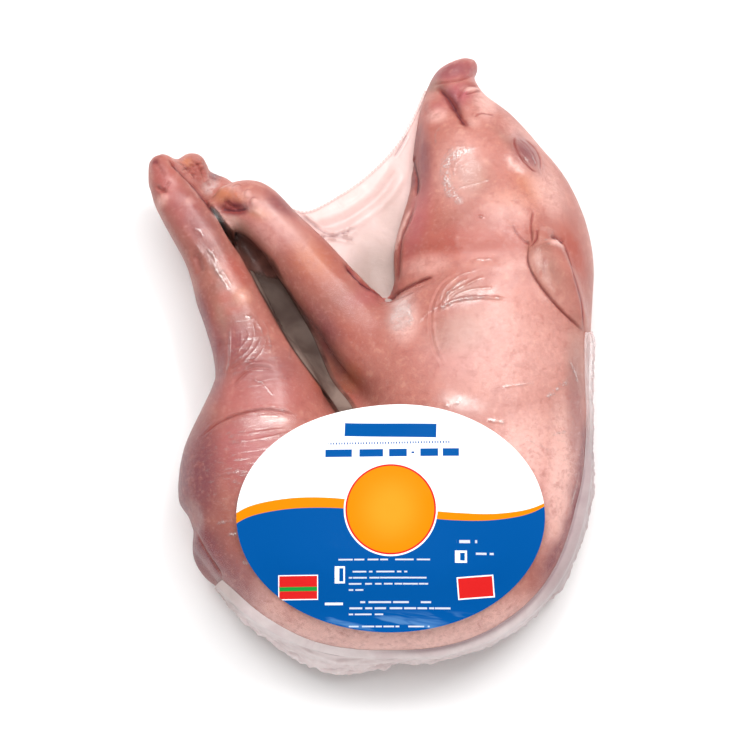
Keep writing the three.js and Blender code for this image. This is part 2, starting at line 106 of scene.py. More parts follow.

# ---- where the film is drawn into wrinkles: (half width, height, how white its painted highlight is), places ----
WRINKLES = {
    "cheek_ring_a": ((2.8, 0.2, 0.9), [(74, 143), (62, 142), (53, 134), (52, 122), (56, 110), (64, 101)]),
    "cheek_ring_b": ((0.8, 0.2, 0.5), [(68, 146), (57, 145), (49, 134), (51, 114), (58, 102)]),
    "cheek_ring_c": ((0.7, 0.2, 0.3), [(64, 137), (58, 132), (58, 120)]),
    "cheek_line": ((0.6, 0.2, 0.35), [(58, 114), (72, 117), (83, 120)]),
    "chin_arc": ((0.6, 0.2, 0.35), [(49, 163), (45, 156), (46, 147)]),
    "eye_glint_a": ((0.6, 0.3, 0.7), [(110, 138), (113, 135), (114, 132)]),
    "eye_glint_b": ((0.5, 0.3, 0.5), [(106, 137), (109, 134)]),
    "ear_root_glint": ((0.8, 0.3, 0.6), [(118, 72), (124, 74), (130, 73)]),
    "pimple_glint": ((1.1, 0.9, 0.9), [(75, 91), (76, 93)]),
    "neck_dash": ((0.7, 0.4, 0.7), [(71, 61), (83, 61)]),
    "shoulder_pull_a": ((1.0, 0.8, 0.4), [(46, 25), (54, 36), (66, 43), (77, 48)]),
    "shoulder_pull_b": ((1.0, 1.0, 0.6), [(47, 26), (58, 31), (74, 33), (92, 32)]),
    "shoulder_pull_c": ((0.8, 0.4, 0.25), [(48, 29), (37, 22), (31, 15)]),
    "shoulder_pull_d": ((0.9, 0.7, 0.45), [(50, 34), (58, 42), (66, 47)]),
    "shoulder_knot": ((1.8, 0.7, 0.8), [(46, 25), (50, 27), (54, 30)]),
    "shoulder_pull_e": ((0.7, 0.5, 0.3), [(54, 33), (66, 38), (84, 40)]),
    "shoulder_pull_f": ((0.7, 0.4, 0.25), [(46, 30), (50, 40), (60, 49), (72, 53)]),
    "elbow_glint": ((1.2, 0.3, 0.5), [(25, 26), (27, 20), (26, 13)]),
    "shin_glint_a": ((0.7, 0.4, 0.5), [(-125, 87), (-121, 87), (-118, 82)]),
    "shin_glint_b": ((0.7, 0.4, 0.4), [(-123, 77), (-118, 69)]),
    "shin_glint_c": ((0.8, 0.5, 0.6), [(-115, 73), (-109, 67)]),
    "shin_glint_d": ((0.7, 0.5, 0.7), [(-112, 73), (-108, 63)]),
    "shin_glint_e": ((1.0, 0.5, 0.9), [(-111, 62), (-104, 51), (-98, 42)]),
    "shin_glint_f": ((0.7, 0.5, 0.7), [(-105, 58), (-97, 46)]),
    "hock_glint": ((1.1, 0.5, 0.7), [(-88, 24), (-83, 23)]),
    "hock_line": ((0.7, 0.6, 0.4), [(-98, 16), (-98, -6), (-100, -18)]),
    "stifle_a": ((0.6, 0.4, 0.25), [(-83, 20), (-81, 11), (-84, 1), (-97, -12)]),
    "stifle_b": ((0.6, 0.4, 0.3), [(-80, 21), (-76, 12), (-79, 2), (-90, -11)]),
    "stifle_c": ((0.6, 0.4, 0.2), [(-87, 17), (-85, 9), (-93, -3)]),
    "stifle_d": ((0.6, 0.4, 0.35), [(-72, 11), (-70, 4), (-70, -2)]),
    "stifle_e": ((0.7, 0.4, 0.25), [(-57, 6), (-57, -7)]),
    "stifle_f": ((0.6, 0.4, 0.2), [(-75, 12), (-74, 2), (-82, -10), (-95, -20)]),
    "stifle_g": ((0.5, 0.3, 0.2), [(-90, 14), (-91, 1), (-98, -8)]),
    "stifle_h": ((0.6, 0.4, 0.2), [(-76, 22), (-72, 14), (-74, 4)]),
    "knee_glint_a": ((0.9, 0.5, 0.7), [(-81, -22), (-74, -25)]),
    "knee_glint_b": ((0.8, 0.4, 0.4), [(-74, -26), (-67, -34)]),
    "haunch_glint": ((0.8, 0.5, 0.5), [(-78, -48), (-62, -48)]),
    "haunch_pull_a": ((0.9, 0.5, 0.35), [(-101, -67), (-80, -65), (-56, -60)]),
    "haunch_pull_b": ((0.7, 0.4, 0.25), [(-102, -62), (-80, -60), (-59, -57)]),
    "haunch_pull_c": ((0.8, 0.5, 0.35), [(-107, -89), (-90, -87)]),
    "haunch_dash_a": ((0.8, 0.5, 0.7), [(-105, -120), (-94, -119)]),
    "haunch_dash_b": ((1.1, 0.6, 1.0), [(-97, -128), (-91, -128)]),
    "haunch_dash_c": ((1.0, 0.5, 0.7), [(-87, -146), (-83, -148)]),
    "haunch_dash_d": ((0.8, 0.5, 0.5), [(-90, -106), (-88, -100)]),
    "back_streak_a": ((0.7, 0.4, 0.5), [(87, -30), (99, -28), (111, -26)]),
    "back_streak_b": ((1.7, 0.4, 0.65), [(117, -37), (125, -30), (134, -22)]),
    "back_streak_c": ((0.8, 0.4, 0.5), [(122, -61), (132, -58)]),
    "back_streak_d": ((0.8, 0.4, 0.4), [(102, -64), (112, -68), (121, -73)]),
    "back_streak_e": ((0.8, 0.4, 0.5), [(134, -7), (138, -15), (141, -24)]),
    "back_streak_f": ((0.8, 0.4, 0.5), [(141, -84), (138, -96), (134, -108)]),
    "label_sheen": ((2.2, 0.3, 0.5), [(48, -43), (62, -38)]),
    "label_glint_flecks": ((1.2, 0.4, 0.6), [(77, -52), (90, -54)]),
}

# ---- soft forms: place, (half length, half width, turn in degrees), height ----
SWELLINGS = {
    "closed_eye": ((109, 142), (15, 9, -52), 1.3),
    "snout_disc": ((63, 212), (15, 6, 12), 1.6),
    "upper_lip": ((66, 182), (8, 4, 100), 1.0),
    "muzzle_bump": ((71, 193), (5, 2, 10), 1.0),
    "lip_end": ((74, 166), (5, 4, 0), 1.0),
    "wrist_knob_a": ((-95, 117), (3, 3, 0), 1.3),
    "wrist_knob_b": ((-87, 113), (3, 3, 0), 1.3),
    "wrist_knob_c": ((-82, 107), (3, 3, 0), 1.5),
    "wrist_knob_d": ((-79, 101), (3, 3, 0), 1.3),
    "wrist_knob_e": ((-106, 117), (4, 3, 40), 1.3),
    "wrist_knob_f": ((-96, 112), (4, 2, 0), 1.3),
    "wrist_hollow": ((-97, 103), (11, 5, -12), -3.6),
    "hock_bone": ((-89, 39), (6, 5, -60), 1.8),
    "hock_hollow": ((-100, 33), (6, 5, 20), -1.3),
    "pastern_waist": ((-155, 117), (5, 5, 60), -1.8),
    "dew_claw": ((-147, 109), (5, 4, 60), 1.7),
    "shin_knob": ((-128, 106), (5, 4, 30), 1.0),
    "shin_pit": ((-122, 66), (8, 3, 110), -1.2),
    "ear_root": ((118, 80), (8, 6, 40), 1.4),
    "ear_lobe": ((116, 72), (6, 3, 20), 1.0),
    "ear_lip": ((127, 72), (6, 2, -8), 1.4),
}

# ---- whole areas moved sideways: place, (half length, half width, turn in degrees), (dx, dy) ----
MOVED_AREAS = {
    "forehead": ((126, 122), (42, 20, -62), (-4.0, -1.6)),
    "snout": ((56, 216), (18, 9, 12), (-2.0, 3.0)),
    "haunch_by_the_tail": ((-130, -118), (12, 12, 0), (6, 2)),
}

# ---- flaps: outline, the step at its edge, the share of it that is taken back, and within what reach ----
FLAPS = {
    "ear": (EAR_FRONT + EAR_BACK[::-1], 2.2, 0.6, 9.0),
    "tail": (TAIL_CREASE + [(-108, -172), (-135, -168), (-150, -140), (-140, -112)], -3.0, 1.0, 13.0),
}
GAP_HIND_LEG = [(-77, 41), (-57, 6), (-37, -22), (-23, -42), (-14, -60)]
GAP_FORELEG = [(-3, -56), (-11, -36), (-26, -16), (-40, 16), (-61, 52)]
GAP_RIM = 2.0  # width of the bare strip of the gap along the foreleg
GAP_SLIT = [(-114, 107), (-108, 96), (-101, 83), (-92, 70), (-84, 57), (-72, 58), (-79, 71), (-90, 81),
            (-100, 91), (-108, 101)]
GAP_FLOOR = 28  # height of the slit's floor
# the gap between the legs: the skin inside this outline is painted dark brown as shade
GAP = [(-114, 107), (-102, 85), (-90, 66), *GAP_HIND_LEG, *GAP_FORELEG, (-69, 68), (-86, 81), (-100, 91)]
# the film over the gap: inside this outline it is painted dull brown as the shade beneath it
GAP_FILM = [(-88, 62), *GAP_HIND_LEG, *((x - GAP_RIM, y) for x, y in GAP_FORELEG), (-68, 57)]
GAP_TOP = 64  # height of the legs' edges on both sides of the gap
GAP_LEAN = 0.18  # how far the gap shifts towards the snout for each millimetre down

# ---- painted sheen: soft whitish patches on the film, as soft highlights: (x, y, half length, half width, turn in degrees, strength) ----
SHEENS = {
    "elbow": (20, 24, 13, 9, 70, 1.0),
    "cheek": (66, 127, 9, 14, 0, 0.35),
    "shoulder": (66, 33, 16, 5, 15, 0.35),
    "above_the_label": (60, -40, 14, 5, -14, 0.5),
    "shin": (-110, 62, 20, 3, -56, 0.3),
    "wrist": (-84, 100, 8, 3, -30, 0.3),
    "haunch": (-78, -52, 20, 5, 5, 0.3),
}
CREASED_BY_THE_FOOT = [(-116, 120, 6, 3, 115, 0.8), (-113, 128, 8, 4, 100, 0.6)]
# patches where fine whitish lines are painted on the film as highlights of its finest wrinkles, with the same
# numbers
FINELY_DRAWN = [(-86, -84, 34, 40, 0, 1.0), (-84, -4, 18, 26, 20, 0.8), (136, -60, 14, 70, 0, 0.6)]

# ---- where the skin changes colour, painted shade and highlights among them: each tone's patches, with the same numbers ----
PATCHES = {
    "brown": [
        (-42, 56, 60, 22, -45, 0.8), (-16, 24, 26, 18, -40, 0.5), (-116, 74, 54, 22, -56, 0.95),
        (-104, 30, 44, 20, -66, 0.95), (-104, -2, 26, 16, 95, 0.9), (-120, -60, 54, 20, 88, 0.95),
        (-84, -78, 36, 42, 0, 0.6), (-70, -20, 34, 28, 0, 0.5), (138, 36, 20, 6, 105, 0.4),
        (-100, -112, 28, 36, 0, 0.55), (50, 84, 34, 18, 0, 0.4), (138, 80, 40, 9, 110, 0.6),
        (-112, -140, 24, 18, -50, 0.9)],
    "flush": [
        (38, 172, 16, 11, 80, 0.6), (64, 74, 52, 14, 0, 0.75), (34, 84, 24, 13, 75, 0.6),
        (-38, 62, 24, 15, -50, 0.6), (-12, 14, 22, 16, 20, 0.35), (-95, 57, 15, 7, -58, 0.8),
        (-112, 14, 22, 9, 100, 0.5), (140, 72, 30, 9, 110, 0.7), (-146, 128, 15, 9, 120, 0.6),
        (-148, 112, 9, 8, 0, 0.5), (100, 76, 12, 8, 30, 0.35), (-60, -35, 26, 14, 0, 0.3),
        (120, -84, 40, 14, 80, 0.2), (-102, 37, 7, 6, 30, 0.8), (-96, 29, 9, 4, 10, 0.7),
        (-124, 132, 9, 9, 0, 0.4), (-32, -23, 16, 9, -50, 0.6), (-15, -19, 9, 16, 10, 0.5),
        (75, 92, 6, 5, 0, 0.6), (-128, 104, 9, 6, 30, 0.5), (-50, 92, 34, 5, -42, 0.4)],
    "rose": [
        (62, 188, 12, 9, 30, 0.9), (60, 207, 22, 8, 12, 0.7), (47, 178, 6, 5, 0, 0.5),
        (32, 96, 30, 8, 78, 0.6), (-80, -30, 34, 26, 0, 0.4), (-84, -70, 26, 30, 0, 0.6),
        (-134, 104, 36, 10, -56, 0.4), (0, 40, 20, 8, 20, 0.4), (-110, -141, 18, 6, -58, 0.9),
        (-100, 4, 18, 16, 0, 0.4), (106, -92, 30, 22, -30, 0.35), (60, -4, 34, 18, 0, 0.25),
        (-72, 88, 30, 9, -40, 0.35)],
    # this tone: the skin's own paler places, with painted highlights on the tops of the knuckles, knobs, dew
    # claw, lips and ear lip, on the elbow, and a painted lit strip along the lower rim
    "pale": [
        (60, 127, 16, 24, 0, 0.5), (80, 180, 14, 8, 100, 0.7), (22, 20, 10, 16, 0, 1.0),
        (70, -10, 40, 26, 0, 0.2), (95, 100, 20, 14, 0, 0.3), (-62, 92, 26, 9, -40, 0.4),
        (30, -200, 84, 12, 4, 1.0), (40, 60, 16, 8, 0, 0.4), (130, -96, 17, 66, 0, 1.0),
        (106, 155, 18, 9, -40, 0.5), (100, -80, 24, 46, -20, 0.9), (20, -188, 114, 20, 3, 1.0),
        (-78, -172, 36, 14, -36, 0.9), (98, -8, 46, 44, 0, 0.5), (-98, 51, 4, 20, 35, 0.4),
        (72, 165, 6, 5, 0, 0.4), (46, 172, 7, 6, 0, 0.7), (-147, 109, 5, 4, 60, 0.7),
        (70, 193, 6, 3, 10, 0.9), (127, 72, 6, 2, -8, 0.9), (88, 60, 30, 8, 0, 0.3),
        (-89, 39, 6, 5, -60, 0.5), (-128, 108, 4, 3, 0, 0.6), (-114, 84, 7, 4, -50, 0.4),
        (122, 116, 12, 26, 20, 0.7), (-97, 118, 4, 3, 0, 0.4), (-87, 113, 3, 3, 0, 0.4),
        (-82, 107, 3, 3, 0, 0.5), (-79, 101, 3, 3, 0, 0.5), (-72, 84, 16, 8, -40, 0.3),
        (-100, 95, 8, 4, -20, 0.6)],
    # this tone: the skin's own bruised places, and painted shade along the edges of the haunch, back, legs
    # and tail
    "mauve_and_edge_shade": [
        (109, 142, 17, 9, -60, 0.8), (36, 140, 24, 6, 90, 0.8), (-65, 106, 14, 6, -40, 0.75),
        (-117, -84, 40, 14, 92, 0.9), (-132, -84, 60, 12, 92, 1.0), (-31, 15, 22, 8, -58, 0.6),
        (-118, 88, 26, 9, 118, 0.4), (140, -50, 50, 7, 92, 0.5), (-86, 0, 26, 16, 110, 0.5),
        (-72, -10, 20, 14, 0, 0.4), (56, 207, 18, 6, 12, 0.6), (-112, -140, 30, 16, 120, 0.8),
        (-128, -138, 28, 18, 70, 1.0), (-150, 135, 10, 6, 110, 0.3), (56, 186, 12, 5, 120, 0.7),
        (-109, -8, 26, 8, 90, 0.9), (-140, 88, 44, 7, 118, 0.15), (-96, -156, 30, 16, -50, 0.8),
        (128, -140, 30, 7, 66, 0.8), (-118, 20, 24, 8, 100, 0.9)],
    "ochre": [
        (-104, 113, 8, 6, -30, 0.8), (-94, 110, 8, 4, -20, 0.5), (-80, 99, 9, 4, -20, 0.7),
        (-90, 39, 7, 6, -50, 0.7), (-131, 141, 4, 3, 0, 0.8), (110, 116, 14, 9, -60, 0.5),
        (100, 106, 16, 9, 0, 0.35), (-149, 109, 5, 5, 0, 0.3), (-42, 66, 18, 11, -45, 0.5),
        (-15, -16, 8, 9, 0, 0.5), (-32, -20, 8, 6, 0, 0.4), (-30, -2, 10, 14, -40, 0.3)],
    # this tone: the skin's own dull places, and painted shade along the edges of the haunch, back and hock,
    # and under the snout's rim
    "grey_and_edge_shade": [
        (62, 8, 26, 15, 10, 0.6), (-97, 92, 12, 6, -30, 0.9), (120, 54, 26, 10, 110, 0.5),
        (45, 198, 5, 7, 60, 0.7), (140, -10, 26, 8, 90, 0.6), (60, 38, 14, 7, 20, 0.4),
        (-132, -90, 50, 5, 92, 0.7), (70, 122, 13, 14, 0, 0.5), (131, -50, 10, 16, 0, 0.5),
        (-104, 20, 18, 5, 100, 0.5), (98, 150, 14, 5, -45, 0.5)],
    # this tone: the skin's own dark red, and painted shade in the wrist hollow and between the feet
    "blood": [
        (-97, 103, 11, 5, -8, 1.0), (-101, 107, 6, 3, -50, 0.8), (-153, 138, 3, 2, 0, 0.7),
        (-122, 66, 10, 3, 110, 0.2), (59, 180, 7, 2, 118, 0.5), (19, 55, 3, 10, 0, 0.2),
        (-112, 134, 5, 4, 0, 0.9), (-126, 134, 13, 10, 0, 0.2), (-119, -136, 14, 9, 60, 0.35)],
}
# ---- the same along lines: tone: (half width, strength, places) ----
TONE_LINES = {
    # these lines are painted shade along the jaw's edge and down the edge of the back
    "mauve_and_edge_shade": [
        (3.4, 0.8, [(35, 171), (33, 162), (31, 148), (30, 117)]),
        (6.0, 0.9, [(147, -40), (144, -80), (134, -122), (112, -164)])],
    # the last of these lines is a painted highlight just under the haunch arc
    "pale": [
        (2.2, 0.9, [(28, 105), (23, 95), (16, 77), (14, 55)]),
        (2.0, 1.0, [(95, 139), (98, 132), (107, 125)]),
        (1.2, 0.6, [(-78, -49), (-66, -49), (-56, -51)])],
    "flush": [(3.0, 0.8, [(-105, 108), (-96, 106), (-84, 102)]), (2.0, 0.8, EAR_BACK), (1.6, 0.5, EAR_FRONT)],
    # these lines are painted shade along the creases behind the foreleg and beside the tail
    "blood": [
        (1.8, 0.9, [(-19, 64), (-6, 48), (8, 41)]),
        (2.4, 0.8, [(-116, -132), (-110, -144), (-104, -153)])],
}


# ---- bench tools ----
def alone(obj):
    """Selects one object and nothing else."""
    bpy.ops.object.select_all(action="DESELECT")
    obj.hide_set(False)
    obj.select_set(True)
    bpy.context.view_layer.objects.active = obj


def worked(obj, kind, **settings):
    """Adds one modifier and applies it."""
    alone(obj)
    modifier = obj.modifiers.new(kind.title(), kind)
    for name, value in settings.items():
        setattr(modifier, name, value)
    bpy.ops.object.modifier_apply(modifier=modifier.name)


def rows_of(items, field, width=3, kind=float):
    """One row of numbers for each of a mesh's items."""
    flat = np.empty(len(items) * width, kind)
    items.foreach_get(field, flat)
    return flat.reshape(-1, width)


def points_of(obj):
    """The mesh's points, in millimetres."""
    return rows_of(obj.data.vertices, "co") / MM


def normals_of(obj):
    return rows_of(obj.data.vertices, "normal")


def move_points(obj, points):
    """Puts the mesh's points where they are given, in millimetres."""
    obj.data.vertices.foreach_set("co", (points * MM).ravel())
    obj.data.update()


def edges_of(obj):
    return rows_of(obj.data.edges, "vertices", 2, int)


def neighbour_mean(values, edges):
    """For each point, the mean of what its neighbours hold."""
    ends = np.concatenate([edges, edges[:, ::-1]])
    count = np.maximum(np.bincount(ends[:, 0], minlength=len(values)), 1)
    columns = [np.bincount(ends[:, 0], values[ends[:, 1], k], len(values)) for k in range(values.shape[1])]
    return np.stack(columns, 1) / count[:, None]


def write_layers(obj, layers):
    """Keeps numbers for each point under their names, for the material to read."""
    for name, values in layers.items():
        layer = obj.data.attributes.new(name, "FLOAT", "POINT")
        layer.data.foreach_set("value", np.clip(values, 0, 1).astype(np.float32))


def smooth_shading(obj, angle=60):
    alone(obj)
    bpy.ops.object.shade_smooth_by_angle(angle=math.radians(angle))


def filled_route(places, step=1.5):
    """Points close together on a smooth curve through all the places."""
    p = np.array(places, float)
    run = np.vstack([2 * p[0] - p[1], p, 2 * p[-1] - p[-2]])
    pieces = []
    for a, b, c, d in zip(run, run[1:], run[2:], run[3:]):
        count = max(1, math.ceil(np.linalg.norm(c - b) / step))
        t = np.linspace(0, 1, count, endpoint=False)[:, None]
        bend = (2 * a - 5 * b + 4 * c - d) * t**2 + (3 * b - a - 3 * c + d) * t**3
        pieces.append(0.5 * (2 * b + (c - a) * t + bend))
    return np.vstack([*pieces, p[-1:]])


def beside_route(route, points, reach):
    """Each point's distance from the route in plan, its share of the way, the height there and the side."""
    distance = np.full(len(points), float(reach))
    share, height, side = np.zeros((3, len(points)))
    for k, (a, b) in enumerate(zip(route, route[1:])):
        along = (b - a)[:2]
        out = points[:, :2] - a[:2]
        t = np.clip(out @ along / max(along @ along, 1e-9), 0, 1)
        d = np.linalg.norm(out - t[:, None] * along, axis=1)
        closer = d < distance
        distance[closer] = d[closer]
        share[closer] = (k + t[closer]) / (len(route) - 1)
        height[closer] = a[2] + t[closer] * (b[2] - a[2])
        side[closer] = np.sign(along[0] * out[closer, 1] - along[1] * out[closer, 0])
    return distance, share, height, side


def inside_of(points, outline):
    """How far each point lies inside a closed outline seen from above. It is negative outside."""
    ring = filled_route(outline, 3)[:, :2]
    ring = np.vstack([ring, ring[:1]])
    x, y = points[:, 0], points[:, 1]
    within = np.zeros(len(points), bool)
    nearest = np.full(len(points), 1e9)
    for (ax, ay), (bx, by) in zip(ring, ring[1:]):
        rise = by - ay if abs(by - ay) > 1e-9 else 1e-9
        within ^= ((ay > y) != (by > y)) & (x < (bx - ax) * (y - ay) / rise + ax)
        length = max((bx - ax) ** 2 + (by - ay) ** 2, 1e-9)
        t = np.clip(((x - ax) * (bx - ax) + (y - ay) * (by - ay)) / length, 0, 1)
        nearest = np.minimum(nearest, np.hypot(x - ax - t * (bx - ax), y - ay - t * (by - ay)))
    return np.where(within, nearest, -nearest)


def fade_in(value, low, high):
    """0 below low, 1 above high, and smooth between them."""
    t = np.clip((value - low) / (high - low), 0, 1)
    return t * t * (3 - 2 * t)


def bump_across(distance, half_width):
    return np.exp(-((distance / half_width) ** 2))


def patch_over(points, x, y, half_length, half_width, turn):
    """1 in the middle of a soft oval patch seen from above, falling to 0 outside it."""
    angle = math.radians(turn)
    dx, dy = points[:, 0] - x, points[:, 1] - y
    u = (dx * math.cos(angle) + dy * math.sin(angle)) / half_length
    v = (dy * math.cos(angle) - dx * math.sin(angle)) / half_width
    return np.exp(-((u * u + v * v) ** 1.5))


def patches_over(points, patches):
    """At each point, the strongest of some soft patches."""
    return np.max([strength * patch_over(points, *oval) for *oval, strength in patches], axis=0)


def crumple(x, y, z, size, seed):
    """A gentle random height, the same on every run."""
    return noise.fractal(Vector((x / size + seed, y / size, z / size)), 0.9, 2.1, 4)


def crumpled(points, mask, height, size, seed):
    """For each point, a random height where the mask says so, and 0 elsewhere."""
    rise = np.zeros(len(points))
    for k in np.flatnonzero(mask > 0.02):
        rise[k] = height * mask[k] * crumple(*points[k], size, seed)
    return rise


def keep_clear(points, body, clearance):
    """Lifts each point that is nearer to the body than its clearance."""
    tree = BVHTree.FromObject(body, bpy.context.evaluated_depsgraph_get())
    for k, point in enumerate(points):
        spot, facing, _, _ = tree.find_nearest(Vector(point * MM))
        height = (Vector(point * MM) - spot).dot(facing) / MM
        if height < clearance[k]:
            points[k] = np.array(spot) / MM + clearance[k] * np.array(facing)


class Surface:
    """A mesh's points and normals, ready for lines to be drawn on its upper side."""

    def __init__(self, obj):
        self.points, self.normals = points_of(obj), normals_of(obj)
        self.tree = BVHTree.FromObject(obj, bpy.context.evaluated_depsgraph_get())

    def top_at(self, plan):
        """The height of the surface at each (x, y), or 0 where there is none."""
        down = Vector((0, 0, -1))
        hits = [self.tree.ray_cast(Vector((x * MM, y * MM, 0.3)), down)[0] for x, y in plan]
        return np.array([hit.z / MM if hit else 0.0 for hit in hits])

    def route(self, places, step=1.5):
        """A smooth curve through the places, laid on the surface."""
        line = filled_route(places, step)
        return np.column_stack([line, self.top_at(line)])

    def near_line(self, places, half_width):
        """The points near a line, how far left of it they lie, its half width there, how much they count."""
        reach = 5 * half_width
        route = self.route(places)
        low, high = route.min(0)[:2] - reach, route.max(0)[:2] + reach
        near = np.flatnonzero(((self.points[:, :2] > low) & (self.points[:, :2] < high)).all(1))
        distance, share, height, side = beside_route(route, self.points[near], reach)
        wander = 0.6 * np.sin(13 * share + places[0][0]) + 0.4 * np.sin(37 * share + places[0][1])
        ends = fade_in(np.minimum(share, 1 - share), -0.03, 0.16)
        upper = fade_in(self.normals[near, 2], -0.25, 0.15)
        level = 1 - fade_in(np.abs(self.points[near, 2] - height), 9, 16)
        counts = ends * upper * level * (distance < reach)
        return near, distance * side, half_width * (1 + 0.3 * wander), counts

    def along(self, places, half_width):
        """1 on a line, and 0 away from it."""
        mask = np.zeros(len(self.points))
        near, left, width, counts = self.near_line(places, half_width)
        mask[near] = bump_across(left, width) * counts
        return mask


def both_sides(left, half_width, width):
    """1 on the two lips beside a line."""
    apart = LIP_DISTANCE * half_width
    return bump_across(left - apart, width) + bump_across(left + apart, width)


def cast_of(node, name, voxel):
    """An even, smooth, closed surface over a CAD node, as an object of its own."""
    obj = bpy.data.objects.new(name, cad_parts[node].data.copy())
    bpy.context.collection.objects.link(obj)
    obj.data.materials.clear()
    alone(obj)
    bpy.ops.object.mode_set(mode="EDIT")
    bpy.ops.mesh.select_all(action="SELECT")
    bpy.ops.mesh.remove_doubles(threshold=1e-5)
    bpy.ops.object.mode_set(mode="OBJECT")
    if obj.data.has_custom_normals:
        bpy.ops.mesh.customdata_custom_splitnormals_clear()
    worked(obj, "REMESH", mode="VOXEL", voxel_size=voxel * MM)
    worked(obj, "SMOOTH", factor=1.0, iterations=CAST_SMOOTHING)
    worked(obj, "SMOOTH", factor=-1.05, iterations=CAST_SMOOTHING)
    points = points_of(obj)
    shift = np.zeros_like(points)
    for place, oval, move in MOVED_AREAS.values():
        shift[:, :2] += patch_over(points, *place, *oval)[:, None] * move
    move_points(obj, points + shift)
    return obj


def finer_along(obj, lines, reach):
    """Subdivides the upper faces that lie within reach of the lines."""
    surface = Surface(obj)
    centres = rows_of(obj.data.polygons, "center") / MM
    chosen = np.zeros(len(centres), bool)
    for places in lines:
        route = surface.route(places, 3)
        low, high = route.min(0)[:2] - reach, route.max(0)[:2] + reach
        near = np.flatnonzero(((centres[:, :2] > low) & (centres[:, :2] < high)).all(1))
        distance, _, height, _ = beside_route(route, centres[near], reach)
        chosen[near] |= (distance < reach) & (np.abs(centres[near, 2] - height) < 18)
    alone(obj)
    bpy.ops.object.mode_set(mode="EDIT")
    bpy.ops.mesh.select_mode(type="FACE")
    bpy.ops.mesh.select_all(action="DESELECT")
    bpy.ops.object.mode_set(mode="OBJECT")
    obj.data.polygons.foreach_set("select", chosen)
    bpy.ops.object.mode_set(mode="EDIT")
    bpy.ops.mesh.subdivide(number_cuts=1, smoothness=0.0)
    bpy.ops.object.mode_set(mode="OBJECT")


# ---- mixing finishes ----
def paint(red, green, blue):
    """A colour as printed or seen, 0 to 255, for a shader socket."""
    steps = (c / 255 for c in (red, green, blue))
    return tuple(c / 12.92 if c <= 0.04 else ((c + 0.055) / 1.055) ** 2.4 for c in steps) + (1.0,)


class Finish:
    """One material: a Principled shader, and the nodes that feed it."""

    def __init__(self, name, **sockets):
        self.material = bpy.data.materials.new(name)
        self.material.use_nodes = True
        self.tree = self.material.node_tree
        self.shader = self.tree.nodes["Principled BSDF"]
        self.place = self.add("ShaderNodeTexCoord", "Object")
        for socket, value in sockets.items():
            self.set(socket.replace("_", " "), value)

    def set(self, socket, value):
        self.feed(self.shader.inputs[socket], value)

    def feed(self, socket, value):
        if isinstance(value, bpy.types.NodeSocket):
            self.tree.links.new(value, socket)
        else:
            socket.default_value = value

    def add(self, kind, output=0, inputs=None, **settings):
        node = self.tree.nodes.new(kind)
        for name, value in settings.items():
            setattr(node, name, value)
        for key, value in (inputs or {}).items():
            self.feed(node.inputs[key], value)
        return node.outputs[output]

    def maths(self, operation, a, b=0.0, clamp=False):
        return self.add("ShaderNodeMath", inputs={0: a, 1: b}, operation=operation, use_clamp=clamp)

    def times(self, a, b):
        return self.maths("MULTIPLY", a, b)

    def sum(self, first, *rest):
        """Adds them all, and keeps the result between 0 and 1."""
        for value in rest:
            first = self.maths("ADD", first, value, clamp=True)
        return first

    def span(self, value, low, high, start=0.0, end=1.0, kind="SMOOTHSTEP"):
        """start below low, end above high."""
        inputs = {0: value, 1: low, 2: high, 3: start, 4: end}
        return self.add("ShaderNodeMapRange", inputs=inputs, interpolation_type=kind)

    def cloud(self, scale, detail=4.0, roughness=0.55, distortion=0.0, place=None):
        inputs = {"Vector": place or self.place, "Scale": scale, "Detail": detail, "Roughness": roughness}
        return self.add("ShaderNodeTexNoise", inputs={**inputs, "Distortion": distortion})

    def drawn_place(self, turn, thin):
        """The object's own place, drawn out into long streaks along a direction."""
        turned = self.add("ShaderNodeMapping", inputs={0: self.place, 2: (0, 0, -math.radians(turn))})
        return self.add("ShaderNodeMapping", inputs={0: turned, 3: (thin, 1, 1)})

    def layer(self, name):
        return self.add("ShaderNodeAttribute", "Fac", attribute_name=name)

    def over(self, factor, under, top):
        return self.add("ShaderNodeMix", 2, {0: factor, 6: under, 7: top}, data_type="RGBA")

    def spotted(self, colour, pattern, low, high, most, shade):
        """The colour, with a shade over it by up to the most where the pattern goes from low to high."""
        return self.over(self.span(pattern, low, high, 0.0, most), colour, paint(*shade))

    def relief(self, height, strength, distance, below=None):
        inputs = {"Height": height, "Strength": strength, "Distance": distance * MM}
        if below is not None:
            inputs["Normal"] = below
        return self.add("ShaderNodeBump", inputs=inputs)


